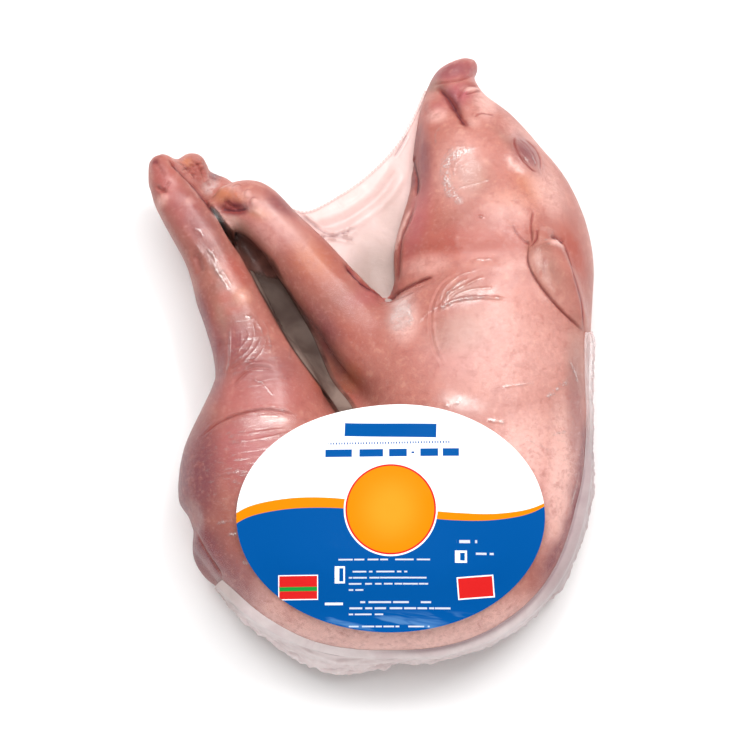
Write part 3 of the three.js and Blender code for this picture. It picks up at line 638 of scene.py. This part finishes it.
def skin_finish():
    """Raw pig skin, wet under the film: mottled pink, with an area or a line of its own for each tone, some
    of which carry painted shade and highlights, and with painted shade in its creases and in the gap between
    the legs.
    """
    skin = Finish("wet_pig_skin", Roughness=0.5, Specular_IOR_Level=0.3, Subsurface_Weight=0.12,
                  Subsurface_Scale=0.003, Subsurface_Radius=(1.0, 0.36, 0.22), Coat_Weight=0.22,
                  Coat_Roughness=0.32, Coat_IOR=1.45)
    broad = skin.cloud(22, 3, 0.5, 0.6)
    blotch = skin.cloud(75, 6, 0.62, 0.8)
    fine = skin.cloud(330, 5, 0.6)
    colour = skin.over(skin.span(broad, 0.35, 0.65), paint(176, 107, 95), paint(188, 119, 106))
    edge = skin.maths("ADD", skin.times(blotch, 1.1), -0.55)
    # mauve and the dull tone after it also carry painted shade along the edges, pale carries painted
    # highlights, and blood painted shade in creases
    tones = {"brown": paint(146, 90, 78), "flush": paint(174, 84, 70), "rose": paint(174, 88, 96),
             "grey_and_edge_shade": paint(158, 124, 110), "ochre": paint(196, 120, 80), "pale": paint(236, 188, 178),
             "mauve_and_edge_shade": paint(120, 64, 72)}
    speckle = skin.cloud(170, 5, 0.62, 0.3)
    colour = skin.spotted(colour, speckle, 0.48, 0.3, 0.3, (222, 168, 146))
    # the pale layer carries painted highlights as well as the skin's own paler places
    for tone, shade in tones.items():
        mask = skin.layer(tone)
        colour = skin.over(skin.sum(mask, skin.times(mask, edge)), colour, shade)
    mixed = skin.maths("ADD", skin.times(blotch, 0.6), skin.times(fine, 0.4))
    colour = skin.spotted(colour, mixed, 0.42, 0.64, 0.36, (150, 80, 74))
    colour = skin.spotted(colour, speckle, 0.52, 0.7, 0.36, (158, 84, 74))
    colour = skin.spotted(colour, fine, 0.5, 0.76, 0.2, (226, 174, 160))
    colour = skin.spotted(colour, skin.cloud(640, 3, 0.6, 0.4), 0.56, 0.74, 0.22, (154, 86, 80))
    # blood is partly painted shade, in the wrist hollow, between the feet and along two creases
    bloody = skin.times(skin.layer("blood"), skin.span(speckle, 0.3, 0.5, 0.5, 1.0))
    colour = skin.over(bloody, colour, paint(104, 26, 42))
    # painted shade in the grooves: darker red, and near black where they are deepest
    crease = skin.layer("crease")
    colour = skin.spotted(colour, crease, 0.05, 0.6, 0.8, (144, 66, 60))
    colour = skin.spotted(colour, crease, 0.62, 1.0, 0.92, (90, 26, 36))
    # painted shade: the skin in the gap between the legs is dark brown
    depth = skin.span(skin.cloud(60, 3, 0.5), 0.35, 0.65)
    colour = skin.over(skin.layer("gap"), colour, skin.over(depth, paint(104, 62, 54), paint(146, 96, 84)))
    skin.set("Base Color", colour)
    normal = skin.relief(skin.cloud(1100, 3, 0.65), 0.2, 0.3)
    normal = skin.relief(skin.cloud(240, 5, 0.7, 1.6), 0.5, 0.8, normal)
    skin.set("Normal", normal)
    return skin.material


def tight_film_finish():
    """Clear shrink film: faintly glossy where it lies flat, with painted whitish highlights and sheen along
    its wrinkles, and painted shade of dull brown over the gap.
    """
    film = Finish("clear_shrink_film")
    streak, slack, drawn = (film.layer(name) for name in ("streak", "slack", "drawn"))
    gap_shade_veil, creased, sheen = (film.layer(name) for name in ("gap_shade_veil", "creased", "sheen"))
    streaked = film.cloud(520, 4, 0.6, 0.3, film.drawn_place(6, 0.09))
    broken = film.span(film.cloud(420, 5, 0.7, 0.8), 0.42, 0.6, 0.05, 1.0)
    drawn_lines = film.times(film.times(drawn, film.span(streaked, 0.52, 0.7)), 0.4)
    cloudy = film.times(sheen, film.span(film.cloud(110, 5, 0.6, 0.8), 0.36, 0.66, 0.5, 1.0))
    # painted highlights and sheen: whitish glints along the wrinkles, fine drawn lines and soft patches
    white = film.sum(film.times(streak, broken), drawn_lines, film.times(cloudy, 0.7))
    folded = film.span(film.cloud(190, 5, 0.7, 1.4), 0.4, 0.62, 0.3, 1.0)
    tuft = film.times(creased, folded)
    wisp = film.span(film.cloud(60, 5, 0.6, 2.0), 0.55, 0.8, 0.03, 0.06)
    film.set("Alpha", film.sum(wisp, film.times(white, 0.7), film.times(slack, 0.06), film.times(tuft, 0.6),
                               film.times(gap_shade_veil, 0.88)))
    film.set("Metallic", film.maths("SUBTRACT", 1.0, film.sum(white, slack, tuft, gap_shade_veil), clamp=True))
    film.set("Roughness", film.span(gap_shade_veil, 0.0, 1.0, 0.26, 0.6))
    colour = film.over(white, paint(246, 242, 240), paint(255, 238, 232))
    colour = film.over(tuft, colour, paint(206, 168, 164))
    # the film over the gap is painted the dull brown of the shade in the hollow under it
    gap_shade_variation = film.span(film.cloud(36, 3, 0.5, 0.6), 0.38, 0.66)
    gap_shade_colour = film.over(gap_shade_variation, paint(110, 90, 82), paint(144, 124, 114))
    film.set("Base Color", film.over(film.span(gap_shade_veil, 0.0, 0.3), colour, gap_shade_colour))
    normal = film.relief(film.cloud(120, 3, 0.5, 1.5), 0.35, 0.6)
    film.set("Normal", film.relief(streaked, 0.15, 0.4, normal))
    return film.material


def loose_film_finish(name, tint, deep, alpha):
    """Loose film, milky with meat juice: deep with painted shade in its folds, deep along its seam and in its
    dull areas, and thin in its clear ones.
    """
    film = Finish(name, Roughness=0.28, IOR=1.5, Subsurface_Weight=0.3, Subsurface_Scale=0.005,
                  Subsurface_Radius=(1.0, 0.8, 0.75))
    colour = film.over(film.span(film.cloud(46, 4, 0.55, 1.0), 0.35, 0.7, 0.0, 0.6), tint, deep)
    # painted shade in the folds, and the seam's own darker line
    colour = film.over(film.times(film.layer("fold"), 0.85), colour, paint(156, 122, 126))
    film.set("Base Color", film.over(film.layer("dull"), colour, paint(160, 132, 122)))
    milky = film.span(film.cloud(40, 4, 0.6, 0.5), 0.3, 0.7, alpha - 0.06, alpha + 0.06)
    film.set("Alpha", film.maths("SUBTRACT", milky, film.times(film.layer("clear"), 0.55), clamp=True))
    film.set("Normal", film.relief(film.cloud(150, 4, 0.55, 1.2), 0.3, 0.6))
    return film.material


# ---- the label's print: fields of colour and plain shapes, in millimetres from the label's middle ----
LABEL_FIT = (-1.2, 1.2)  # how far each half of the print reaches past its solid, across and along
LABEL_SHIFT = 1.6  # how far the label lies towards the snout from the middle of its solid
PRINT_SHIFT = -1.4  # the same for what is printed on it
LABEL_THICKNESS = 0.25
LABEL_CLEARANCE = 0.3  # above the film
LABEL_GRID = (150, 110)  # faces across and along
LABEL_PASSES = 400  # how often the label's heights are evened out, which makes it span the gap
BAND_TOP = [(-105, 5), (-79, 14), (-50, 16), (0, 10), (46, 5), (73, 5), (105, 13)]
BAND_LOW = [(-105, -2), (-79, 7), (-48, 9), (0, 5), (46, 0), (73, 1), (105, 11)]
BAND_RANGE = 20  # the bands stay within this height, up and down
SEAL = {"level": 7.6, "edge": 31.4, "line": 30.4, "face": 29.2}
# bars that stand for lines of text: (start, end, level, height)
TEXT_BARS = [(-37, 27, -26, 1), (-28, 11, -34, 1), (-28, 24, -38, 1), (-28, 25, -42, 1),
             (-28, -17, -46, 1), (-28, 27, -54, 1.2), (-28, 40, -58, 1.2), (-28, -5, -62, 1),
             (-28, 26, -70, 1), (-28, -17, -74, 1), (44, 66, -14, 2), (57, 69, -22, 1.4)]
LINE_PITCH = 4  # each line of text has word gaps of its own
# the same for words in blue on the white half, and a dotted rule
WORD_BARS = [(-44, -26, 46, 5.4), (-21, -5, 46, 5.4), (-1, 11, 46, 5.4), (14, 16, 46, 1.4), (20, 32, 46, 5.4),
             (35, 46, 46, 5.4)]
TITLE_BAR = (0, 62, 31, 4.8, -2)
DOTTED_RULE = (-1, 53, 41, 0.8)
# plain blocks: (middle across, middle along, half width, half height, turn), shade
SIDE_BLOCKS = [((-34, -36, 3.4, 5.6), "white"), ((-33, -36, 1.4, 4.4), "blue"), ((47, -24, 4, 4), "white"),
               ((48, -24, 1.6, 2.6), "blue"), ((-38, -55, 6, 0.8), "white"), ((-62, -44, 13.4, 8.2), "white"),
               ((-62, -44, 12.8, 7.6), "red"), ((-62, -45, 12.8, 1.4), "green"),
               ((57, -44, 12.4, 7.4, 5), "white"), ((57, -44, 11.6, 6.6, 5), "red")]


def label_finish(middle):
    """Print in white, blue and orange, with a round seal, plain side blocks and bars for the text."""
    ink = Finish("glossy_label_print", Roughness=0.5, Specular_IOR_Level=0.03, Coat_Weight=0.015,
                 Coat_Roughness=0.12)
    across, along = (ink.add("ShaderNodeSeparateXYZ", axis, {0: ink.place}) for axis in range(2))
    u = ink.maths("SUBTRACT", ink.maths("DIVIDE", across, MM), middle[0])
    v = ink.maths("SUBTRACT", ink.maths("DIVIDE", along, MM), middle[1])
    shades = {"white": paint(252, 252, 252), "blue": paint(0, 78, 148), "orange": paint(226, 130, 6),
              "red": paint(206, 34, 34), "green": paint(26, 146, 60)}
    white, blue, orange = (shades[name] for name in ("white", "blue", "orange"))

    def below(stations):
        """1 below a drawn wave."""
        curve = ink.add("ShaderNodeFloatCurve", 0, {1: ink.span(u, -105, 105, kind="LINEAR")})
        mapping = curve.node.mapping
        line = mapping.curves[0]
        while len(line.points) < len(stations):
            line.points.new(0.5, 0.5)
        for point, (du, dv) in zip(line.points, stations):
            point.location = ((du + 105) / 210, (dv / BAND_RANGE + 1) / 2)
        mapping.update()
        height = ink.maths("SUBTRACT", ink.times(curve, 2.0 * BAND_RANGE), BAND_RANGE)
        return ink.span(ink.maths("SUBTRACT", height, v), -0.15, 0.15)

    def block(centre_u, centre_v, half_u, half_v, turn=0.0):
        """1 inside a box, which can be turned by some degrees."""
        du, dv = ink.maths("SUBTRACT", u, centre_u), ink.maths("SUBTRACT", v, centre_v)
        c, s = math.cos(math.radians(turn)), math.sin(math.radians(turn))
        right = ink.maths("ADD", ink.times(du, c), ink.times(dv, s))
        up = ink.maths("SUBTRACT", ink.times(dv, c), ink.times(du, s))
        inside_u = ink.maths("SUBTRACT", half_u, ink.maths("ABSOLUTE", right))
        inside_v = ink.maths("SUBTRACT", half_v, ink.maths("ABSOLUTE", up))
        return ink.span(ink.maths("MINIMUM", inside_u, inside_v), -0.15, 0.15)

    def bar(start, end, level, height):
        return block((start + end) / 2, level, (end - start) / 2, height / 2)

    colour = ink.over(below(BAND_TOP), white, orange)
    colour = ink.over(below(BAND_LOW), colour, blue)
    colour = ink.over(block(*TITLE_BAR), colour, blue)
    for word in WORD_BARS:
        colour = ink.over(bar(*word), colour, blue)
    dots = ink.span(ink.maths("SINE", ink.times(u, 3.4)), -0.1, 0.3)
    colour = ink.over(ink.times(block(*DOTTED_RULE), dots), colour, blue)
    line_number = ink.maths("FLOOR", ink.maths("DIVIDE", v, LINE_PITCH))
    word_place = ink.add("ShaderNodeCombineXYZ", inputs={0: u, 1: ink.times(line_number, 17.3)})
    words = ink.cloud(0.3, 0.0, place=word_place)
    for line in TEXT_BARS:
        colour = ink.over(ink.times(ink.times(bar(*line), ink.span(words, 0.38, 0.4)), 0.62), colour, white)
    for box, shade in SIDE_BLOCKS:
        colour = ink.over(block(*box), colour, shades[shade])
    from_seal = ink.maths("SUBTRACT", v, SEAL["level"])
    radius = ink.maths("SQRT", ink.maths("ADD", ink.times(u, u), ink.times(from_seal, from_seal)))
    for part, shade in (("edge", "white"), ("line", "red"), ("face", "orange")):
        disc = ink.span(radius, SEAL[part] - 0.15, SEAL[part] + 0.15, 1.0, 0.0)
        colour = ink.over(disc, colour, shades[shade])
    colour = ink.over(ink.span(radius, 4.0, 29.0, 0.25, 0.0), colour, paint(255, 190, 70))
    # painted reflection: light blue streaks where the film over the label catches the light, low on the label
    painted_reflection_streaks = ink.span(ink.cloud(170, 3, 0.5, 0.4, ink.drawn_place(-10, 0.14)), 0.56, 0.7, 0.0, 0.34)
    colour = ink.over(ink.times(painted_reflection_streaks, ink.span(v, -66, -58, 1.0, 0.0)), colour, paint(120, 170, 214))
    ink.set("Base Color", colour)
    ink.set("Normal", ink.relief(ink.cloud(34, 3, 0.5, 0.8), 0.12, 0.8))
    return ink.material


# ---- the pieces ----
PIG_VOXEL = 3.1
PIG_REACHES = (4.6, 2.2)  # the faces this near to a line are made finer, once for each reach
FILM_VOXEL = 3.2
FILM_REACHES = (5.0, 2.4)
CAST_SMOOTHING = 14  # passes
LIP_DISTANCE = 2.2  # of a groove's lips from its middle, in half widths of the groove
LIFT_SHARES = (0.35, 0.35, 1.0)  # lines and swellings go mostly up and down, so that they stay in place
# the heights between which each of these fades in, so that the underside stays plain
LIFTED_FROM = (30, 40)
PAINTED_FROM = (20, 30)
WRINKLED_FROM = (24, 34)
ROUGH_FOOT = (-124, 134, 14, 11, 0)  # a patch of (x, y, half length, half width, turn)
ROUGH_FOOT_HEIGHT = 2.4
FILM_GAP = 0.7  # from the form that the pig is made over to the film
FILM_CLEARANCE = 0.4  # the least distance from the finished pig
FILM_PASSES = 90  # how often the film is drawn tight
CREASED_HEIGHT = 1.6
SHEET_THICKNESS = 0.35


def inside_gap(points, outline):
    """How far each point lies inside an outline of the gap between the legs, at the height it lies at."""
    leaning = points.copy()
    leaning[:, 1] -= GAP_LEAN * (GAP_TOP - points[:, 2])
    return inside_of(leaning, outline)


def make_pig():
    """The pig itself: folded, pressed flat where it rests, with its face, ear, folds, knuckles and hooves."""
    pig = cast_of("pack", "pig", PIG_VOXEL)
    lines = [places for _, places in (*GROOVES.values(), *WRINKLES.values())] + [GAP + GAP[:1]]
    for reach in PIG_REACHES:
        finer_along(pig, lines, reach)
    worked(pig, "SMOOTH", factor=0.6, iterations=3)
    skin = Surface(pig)
    lift, crease = np.zeros((2, len(skin.points)))
    # the grooves are carved, and their darkness is painted into the crease layer as shade
    for (half_width, depth, lips, dark), places in GROOVES.values():
        near, left, width, counts = skin.near_line(places, half_width)
        inside = bump_across(left, width) * counts
        lift[near] += lips * both_sides(left, half_width, width) * counts - depth * inside
        crease[near] = np.maximum(crease[near], dark * inside)
    for (half_width, height, _), places in WRINKLES.values():
        near, left, width, counts = skin.near_line(places, half_width)
        lift[near] += 0.6 * height * bump_across(left, width) * counts
        # painted shade along one flank of each wrinkle
        beside = bump_across(left - 1.7 * half_width, 0.8 * width) * counts
        crease[near] = np.maximum(crease[near], 0.35 * height * beside)
    upper = fade_in(skin.points[:, 2], *LIFTED_FROM)
    for place, oval, height in SWELLINGS.values():
        lift += height * upper * patch_over(skin.points, *place, *oval)
    for outline, height, taken_back, reach in FLAPS.values():
        inside = inside_of(skin.points, outline)
        edge = fade_in(inside, -0.4, 0.9) * (1 - taken_back * fade_in(inside, 1.5, reach))
        lift += height * edge * upper * fade_in(skin.normals[:, 2], -0.1, 0.2)
    rough_foot = upper * patch_over(skin.points, *ROUGH_FOOT)
    lift += crumpled(skin.points, rough_foot, ROUGH_FOOT_HEIGHT, 5, 1.7)
    lift *= fade_in(skin.points[:, 2], 1.0, 5.0)
    place = skin.points + lift[:, None] * skin.normals * LIFT_SHARES
    cut = fade_in(inside_of(skin.points, GAP_SLIT), -0.3, 1.4)
    place[:, 2] -= cut * np.maximum(place[:, 2] - GAP_FLOOR, 0)
    move_points(pig, place)
    seen = fade_in(skin.points[:, 2], *PAINTED_FROM)
    layers = {}
    for tone, patches in PATCHES.items():
        layers[tone] = seen * patches_over(skin.points, patches)
        for half_width, strength, places in TONE_LINES.get(tone, []):
            layers[tone] = np.maximum(layers[tone], strength * skin.along(places, half_width))
    layers["crease"] = crease
    # the skin in the gap is painted dark, as shade
    layers["gap"] = fade_in(inside_gap(skin.points, GAP), -0.5, 1.0) * fade_in(skin.points[:, 2], 6, 12)
    write_layers(pig, layers)
    pig.data.materials.append(skin_finish())
    smooth_shading(pig)
    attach(pig, "root")
    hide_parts("pack")
    return pig


def make_tight_film(pig):
    """The film that lies on the pig. It spans the hollows as a drumhead would, and has wrinkles."""
    film = cast_of("pack", "film_tight", FILM_VOXEL)
    lines = [places for _, places in WRINKLES.values()] + [GAP_FILM + GAP_FILM[:1]]
    for reach in FILM_REACHES:
        finer_along(film, lines, reach)
    surface, edges = Surface(film), edges_of(film)
    form, normals = surface.points, surface.normals
    skin = form + FILM_GAP * normals
    for _ in range(FILM_PASSES):
        skin += 0.5 * (neighbour_mean(skin, edges) - skin)
        lift = ((skin - form) * normals).sum(1)
        skin += np.maximum(FILM_GAP - lift, 0)[:, None] * normals
    keep_clear(skin, pig, np.full(len(skin), FILM_CLEARANCE))
    slack = fade_in(np.linalg.norm(skin - form, axis=1), 2.5, 12)
    streak, rise = np.zeros((2, len(form)))
    for (half_width, height, white), places in WRINKLES.values():
        near, left, width, counts = surface.near_line(places, half_width)
        inside = bump_across(left, width) * counts
        rise[near] += height * inside
        # the white along each wrinkle's crest is a painted highlight
        streak[near] = np.maximum(streak[near], white * inside)
    upper = fade_in(skin[:, 2], *WRINKLED_FROM)
    creased = upper * patches_over(skin, CREASED_BY_THE_FOOT)
    rise += crumpled(skin, creased, CREASED_HEIGHT, 4, 5.3)
    skin += rise[:, None] * normals
    skin[:, 2] = np.maximum(skin[:, 2], 0.0)
    move_points(film, skin)
    # where the film spans the gap between the legs, to be painted as the shade beneath it
    gap_shade_veil = fade_in(inside_gap(skin, GAP_FILM), 0.4, 1.8) * fade_in(skin[:, 2], 10, 18)
    write_layers(film, {
        "sheen": upper * patches_over(skin, SHEENS.values()),
        "slack": slack,
        "streak": streak,
        "drawn": upper * patches_over(skin, FINELY_DRAWN),
        "gap_shade_veil": gap_shade_veil,
        "creased": creased})
    film.data.materials.append(tight_film_finish())
    smooth_shading(film)
    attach(film, "root")
    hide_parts("pack")
    return film


def flat_grid(name, columns, rows):
    """A flat grid, and where each of its points lies on it both ways, from -1 to 1."""
    bpy.ops.object.select_all(action="DESELECT")
    bpy.ops.mesh.primitive_grid_add(x_subdivisions=columns, y_subdivisions=rows, size=2)
    grid = bpy.context.object
    grid.name = name
    x, y, _ = points_of(grid).T * MM
    return grid, x, y


def make_label(film):
    """The oval label, laid on the film over the flank."""
    low, high = (np.array(corner)[:2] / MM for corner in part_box("label"))
    middle = (low + high) / 2
    half = (high - low) / 2 + LABEL_FIT
    label, x, y = flat_grid("label_print", *LABEL_GRID)
    oval = np.stack([x * np.sqrt(1 - y * y / 2), y * np.sqrt(1 - x * x / 2)], 1)
    plan = middle + (0, LABEL_SHIFT) + half * oval
    least = Surface(film).top_at(plan)[:, None] + LABEL_CLEARANCE
    edges = edges_of(label)
    level = least
    for _ in range(LABEL_PASSES):
        level = np.maximum(neighbour_mean(level, edges), least)
    move_points(label, np.column_stack([plan, level]))
    worked(label, "SOLIDIFY", thickness=LABEL_THICKNESS * MM, offset=1.0)
    label.data.materials.append(label_finish(middle + (0, PRINT_SHIFT)))
    smooth_shading(label, 40)
    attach(label, "root")
    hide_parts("label")


def sheet_between(name, near, far, grid):
    """A sheet, each point's share along and across it, the rails at that share, and the far rail's length."""
    sheet, along, across = flat_grid(name, *grid)
    s, a = (along + 1) / 2, (across + 1) / 2

    def even(places):
        line = filled_route(places, 2)
        steps = np.r_[0, np.cumsum(np.linalg.norm(np.diff(line, axis=0), axis=1))]
        return np.stack([np.interp(s * steps[-1], steps, line[:, k]) for k in range(3)], 1), steps[-1]

    start, _ = even(near)
    end, length = even(far)
    return sheet, s, a, start, end, length


def upward_normals(sheet, place):
    """The sheet's normals once its points are in place, turned to the upper side."""
    move_points(sheet, place)
    normals = normals_of(sheet)
    return normals * (-1 if normals[:, 2].mean() < 0 else 1)


def finish_sheet(sheet, place, layers, finish, node):
    """Gives a sheet its last form, its thickness and its finish, in place of the CAD node."""
    move_points(sheet, place)
    write_layers(sheet, layers)
    worked(sheet, "SOLIDIFY", thickness=SHEET_THICKNESS * MM, offset=0.0)
    alone(sheet)
    bpy.ops.object.mode_set(mode="EDIT")
    bpy.ops.mesh.select_all(action="SELECT")
    bpy.ops.mesh.normals_make_consistent(inside=False)
    bpy.ops.object.mode_set(mode="OBJECT")
    sheet.data.materials.append(finish)
    smooth_shading(sheet)
    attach(sheet, "root")
    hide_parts(node)


# ---- the web of film between foreleg and throat: rails of (x, y, z) ----
WEB_NEAR = [(-69, 93, 54), (-17, 47, 52), (10, 35, 48), (23, 58, 46), (34, 96, 44), (38, 135, 43),
            (47, 193, 42)]
WEB_FAR = [(-65, 113, 53), (-54, 107, 51), (-43, 107, 50), (-24, 118, 48), (-5, 132, 46), (13, 150, 46),
           (27, 171, 44), (38, 198, 42)]
WEB_GRID = (240, 60)  # faces along and across
WEB_SAG = 2.0
# folds: (half width, depth, darkness of the painted shade in it), places
WEB_FOLDS = [
    ((1.0, 1.2, 0.7), [(-51, 104), (-41, 96), (-30, 89), (-22, 90), (-10, 95)]),
    ((0.9, 1.0, 0.6), [(-38, 86), (-30, 88), (-11, 86)]),
    ((0.8, 0.6, 0.7), [(16, 147), (21, 155), (26, 165)]),
    ((3.0, 1.2, 0.1), [(-46, 92), (-20, 100), (4, 118), (20, 140)]),
]
SEAM = {"inset": 1.3, "half_width": 0.5, "pitch": 2.8, "scallop": 0.3, "height": 0.4}
WEB_DULL = [(8, 62, 30, 32, 0, 1.0), (16, 98, 14, 30, 0, 0.6)]  # the same numbers as a sheen's


def make_web():
    """The stretch of film between the foreleg and the throat, with a seam along its free edge."""
    sheet, s, a, start, end, length = sheet_between("film_web_sheet", WEB_NEAR, WEB_FAR, WEB_GRID)
    a = 1 - (1 - a) ** 1.5
    span = np.linalg.norm(end - start, axis=1)
    from_edge = (1 - a) * span
    stitch = np.sin(2 * np.pi * s * length / SEAM["pitch"])
    outward = (end - start) / span[:, None]
    place = start + (end - start) * a[:, None]
    place += outward * (SEAM["scallop"] * stitch * bump_across(from_edge, 1.5))[:, None]
    place[:, 2] -= WEB_SAG * np.sin(np.pi * a)
    place[:, 2] += 0.5 * a * np.array([crumple(p[0], p[1], 0, 40, 7.7) for p in place])
    normals = upward_normals(sheet, place)
    surface = Surface(sheet)
    rise, fold = np.zeros((2, len(place)))
    # the folds are pressed into the web, with painted shade in them
    for (half_width, depth, dark), places in WEB_FOLDS:
        near, left, width, counts = surface.near_line(places, half_width)
        inside = bump_across(left, width)
        counts = fade_in(counts, 0.0, 1.0)
        rise[near] += depth * (0.6 * both_sides(left, half_width, width) - inside) * counts
        fold[near] = np.maximum(fold[near], dark * inside * counts)
    seam = bump_across(from_edge - SEAM["inset"], SEAM["half_width"])
    rise += SEAM["height"] * seam
    fold = np.maximum(fold, seam * (0.35 + 0.25 * stitch) * fade_in(s, 0.04, 0.12))
    finish = loose_film_finish("milky_web_film", paint(236, 196, 190), paint(228, 188, 180), 0.9)
    layers = {"fold": fold, "dull": patches_over(place, WEB_DULL), "clear": 0 * s}
    finish_sheet(sheet, place + rise[:, None] * normals, layers, finish, "film_web")


# ---- the bag's margin round the back and rump: rails of (x, y, z) ----
SKIRT_NEAR = [(147, 14, 75), (147, -45, 72), (146, -75, 72), (137, -111, 77), (118, -157, 75),
              (88, -186, 73), (50, -201, 69), (9, -204, 67), (-34, -200, 66), (-66, -185, 70),
              (-92, -165, 70), (-101, -156, 66)]
SKIRT_FAR = [(149, 16, 68), (152, -10, 45), (150, -40, 36), (155, -75, 30), (151, -110, 26),
             (134, -154, 22), (103, -186, 20), (69, -203, 20), (9, -214, 20), (-15, -217, 20),
             (-40, -214, 20), (-79, -189, 20), (-100, -171, 20), (-107, -156, 22)]
SKIRT_GRID = (480, 44)
SKIRT_CLEARANCE = (-0.5, 0.6)  # above the tight film: at the rim, which sinks into it, and beyond
# across the margin, as shares of its width: where a rib starts, and how wide it is
RIB = (0.03, 0.26)
SECOND_RIB = (0.36, 0.3)
VALLEY = 0.31  # between the ribs
RIB_HEIGHT = 2.4
SKIRT_JAG = 0.13  # how far the free edge wanders, as a share of the flange's width
LONG_FOLDS = {"pitch": 30, "height": 1.3}
PLEATS = {"pitch": 15, "height": 1.6}


def make_skirt(body):
    """The margin of the bag round the shoulder, back and rump: a smooth rib, then a crumpled flange."""
    sheet, s, a, start, end, length = sheet_between("film_skirt_sheet", SKIRT_NEAR, SKIRT_FAR, SKIRT_GRID)
    run = s * length
    jag = np.array([crumple(r, 0, 0, 22, 3.1) for r in run])
    place = start + (end - start) * (a + SKIRT_JAG * jag * a**3)[:, None]
    at_rim, beyond = SKIRT_CLEARANCE
    keep_clear(place, body, at_rim + (beyond - at_rim) * fade_in(a, 0.0, 0.06))
    normals = upward_normals(sheet, place)
    narrow = fade_in(s, 0.16, 0.24)

    def ridge(first, width):
        return np.sin(np.pi * np.clip((a - first) / width, 0, 1)) ** 2

    def folded(pitch, across, seed):
        """Sharp random folds that follow the rail, or cross it where across is small."""
        return np.array([1 - 2 * abs(crumple(r / pitch, q * across, 0, 1, seed)) for r, q in zip(run, a)])

    ribs = RIB_HEIGHT * ridge(*RIB) * narrow + ridge(*SECOND_RIB) * fade_in(s, 0.2, 0.3)
    long_folds = folded(LONG_FOLDS["pitch"], 5.5, 7.7)
    pleats = PLEATS["height"] * a * folded(PLEATS["pitch"], 1.2, 2.3)
    loose = fade_in(a, 0.28, 0.55)
    rise = ribs + loose * (LONG_FOLDS["height"] * long_folds + pleats)
    place = place + rise[:, None] * normals
    place[:, 2] = np.maximum(place[:, 2], 0.6)
    # painted shade: in the valley between the ribs, in the troughs of the long folds, along the rim next to
    # the pig and over the stretch down the back
    valley = 0.9 * bump_across(a - VALLEY, 0.035) * narrow
    inner = bump_across(a - 0.015, 0.05) * (1 - fade_in(s, 0.62, 0.75)) * narrow
    fold = np.maximum(valley + 0.35 * loose * fade_in(-long_folds, -0.35, 0.35), inner)
    fold = np.maximum(fold, 0.7 * fade_in(s, 0.12, 0.2) * (1 - fade_in(s, 0.4, 0.5)))
    layers = {"fold": fold, "dull": 0.5 * fade_in(s, 0.93, 0.97), "clear": 1 - fade_in(s, 0.14, 0.22)}
    finish = loose_film_finish("crumpled_margin_film", paint(252, 232, 230), paint(236, 208, 208), 0.86)
    finish_sheet(sheet, place, layers, finish, "film_skirt")


# ---- floor, light and camera, in metres ----
FLOOR = {"size": 6, "location": (0, 0, -0.0005)}
ROOM_LIGHT = 0.28
# soft boxes: (size, watts, azimuth, elevation, distance, whether the gloss shows it)
SOFT_BOXES = {
    "overhead": (1.7, 33, 6, 70, 2.2, True),
    "from_the_right": (0.6, 13, 50, 58, 2.0, False),
    "from_the_left": (0.6, 10, 316, 58, 2.0, False),
    "low_fill": (1.6, 10, 180, 42, 1.8, False),
    "sparkle": (0.16, 2.4, 20, 60, 1.6, True),
}
CAMERA_TARGET = (-0.0031, -0.0075, 0.055)
CAMERA_DISTANCE = 1.6
CAMERA_ELEVATION = 80  # degrees
SENSOR, LENS = 36, 112  # millimetres


def make_floor():
    bpy.ops.object.select_all(action="DESELECT")
    bpy.ops.mesh.primitive_plane_add(**FLOOR)
    floor = bpy.context.object
    floor.name = "floor"
    finish = Finish("pale_floor", Base_Color=(0.95, 0.95, 0.95, 1), Roughness=0.9, Specular_IOR_Level=0.0)
    floor.data.materials.append(finish.material)


def soft_light(name, size, power, azimuth, elevation, distance, shiny):
    """A square soft box that looks at the pig. Azimuth 0 is +Y, and 90 is +X."""
    bpy.ops.object.select_all(action="DESELECT")
    a, e = math.radians(azimuth), math.radians(elevation)
    way = Vector((math.sin(a) * math.cos(e), math.cos(a) * math.cos(e), math.sin(e)))
    bpy.ops.object.light_add(type="AREA", location=way * distance)
    lamp = bpy.context.object
    lamp.name = name
    lamp.data.shape = "SQUARE"
    lamp.data.size = size
    lamp.data.energy = power
    lamp.rotation_euler = way.to_track_quat("Z", "Y").to_euler()
    lamp.visible_glossy = shiny


def make_light():
    world = bpy.data.worlds.new("studio")
    bpy.context.scene.world = world
    world.use_nodes = True
    background = world.node_tree.nodes["Background"]
    background.inputs[0].default_value = (1.0, 1.0, 1.0, 1.0)
    background.inputs[1].default_value = ROOM_LIGHT
    for name, settings in SOFT_BOXES.items():
        soft_light(name, *settings)


def make_camera():
    """Looks down on the pig from its belly side, 10 degrees off straight down."""
    elevation = math.radians(CAMERA_ELEVATION)
    away = Vector((0, -math.cos(elevation), math.sin(elevation)))
    place = Vector(CAMERA_TARGET) + CAMERA_DISTANCE * away
    bpy.ops.object.select_all(action="DESELECT")
    bpy.ops.object.camera_add(location=place, rotation=(math.pi / 2 - elevation, 0, 0))
    camera = bpy.context.object
    camera.data.sensor_width = SENSOR
    camera.data.lens = LENS
    bpy.context.scene.camera = camera
    bpy.context.scene.view_settings.view_transform = "Standard"


make_camera()
make_light()
make_floor()
pig = make_pig()
tight_film = make_tight_film(pig)
make_label(tight_film)
make_web()
make_skirt(tight_film)
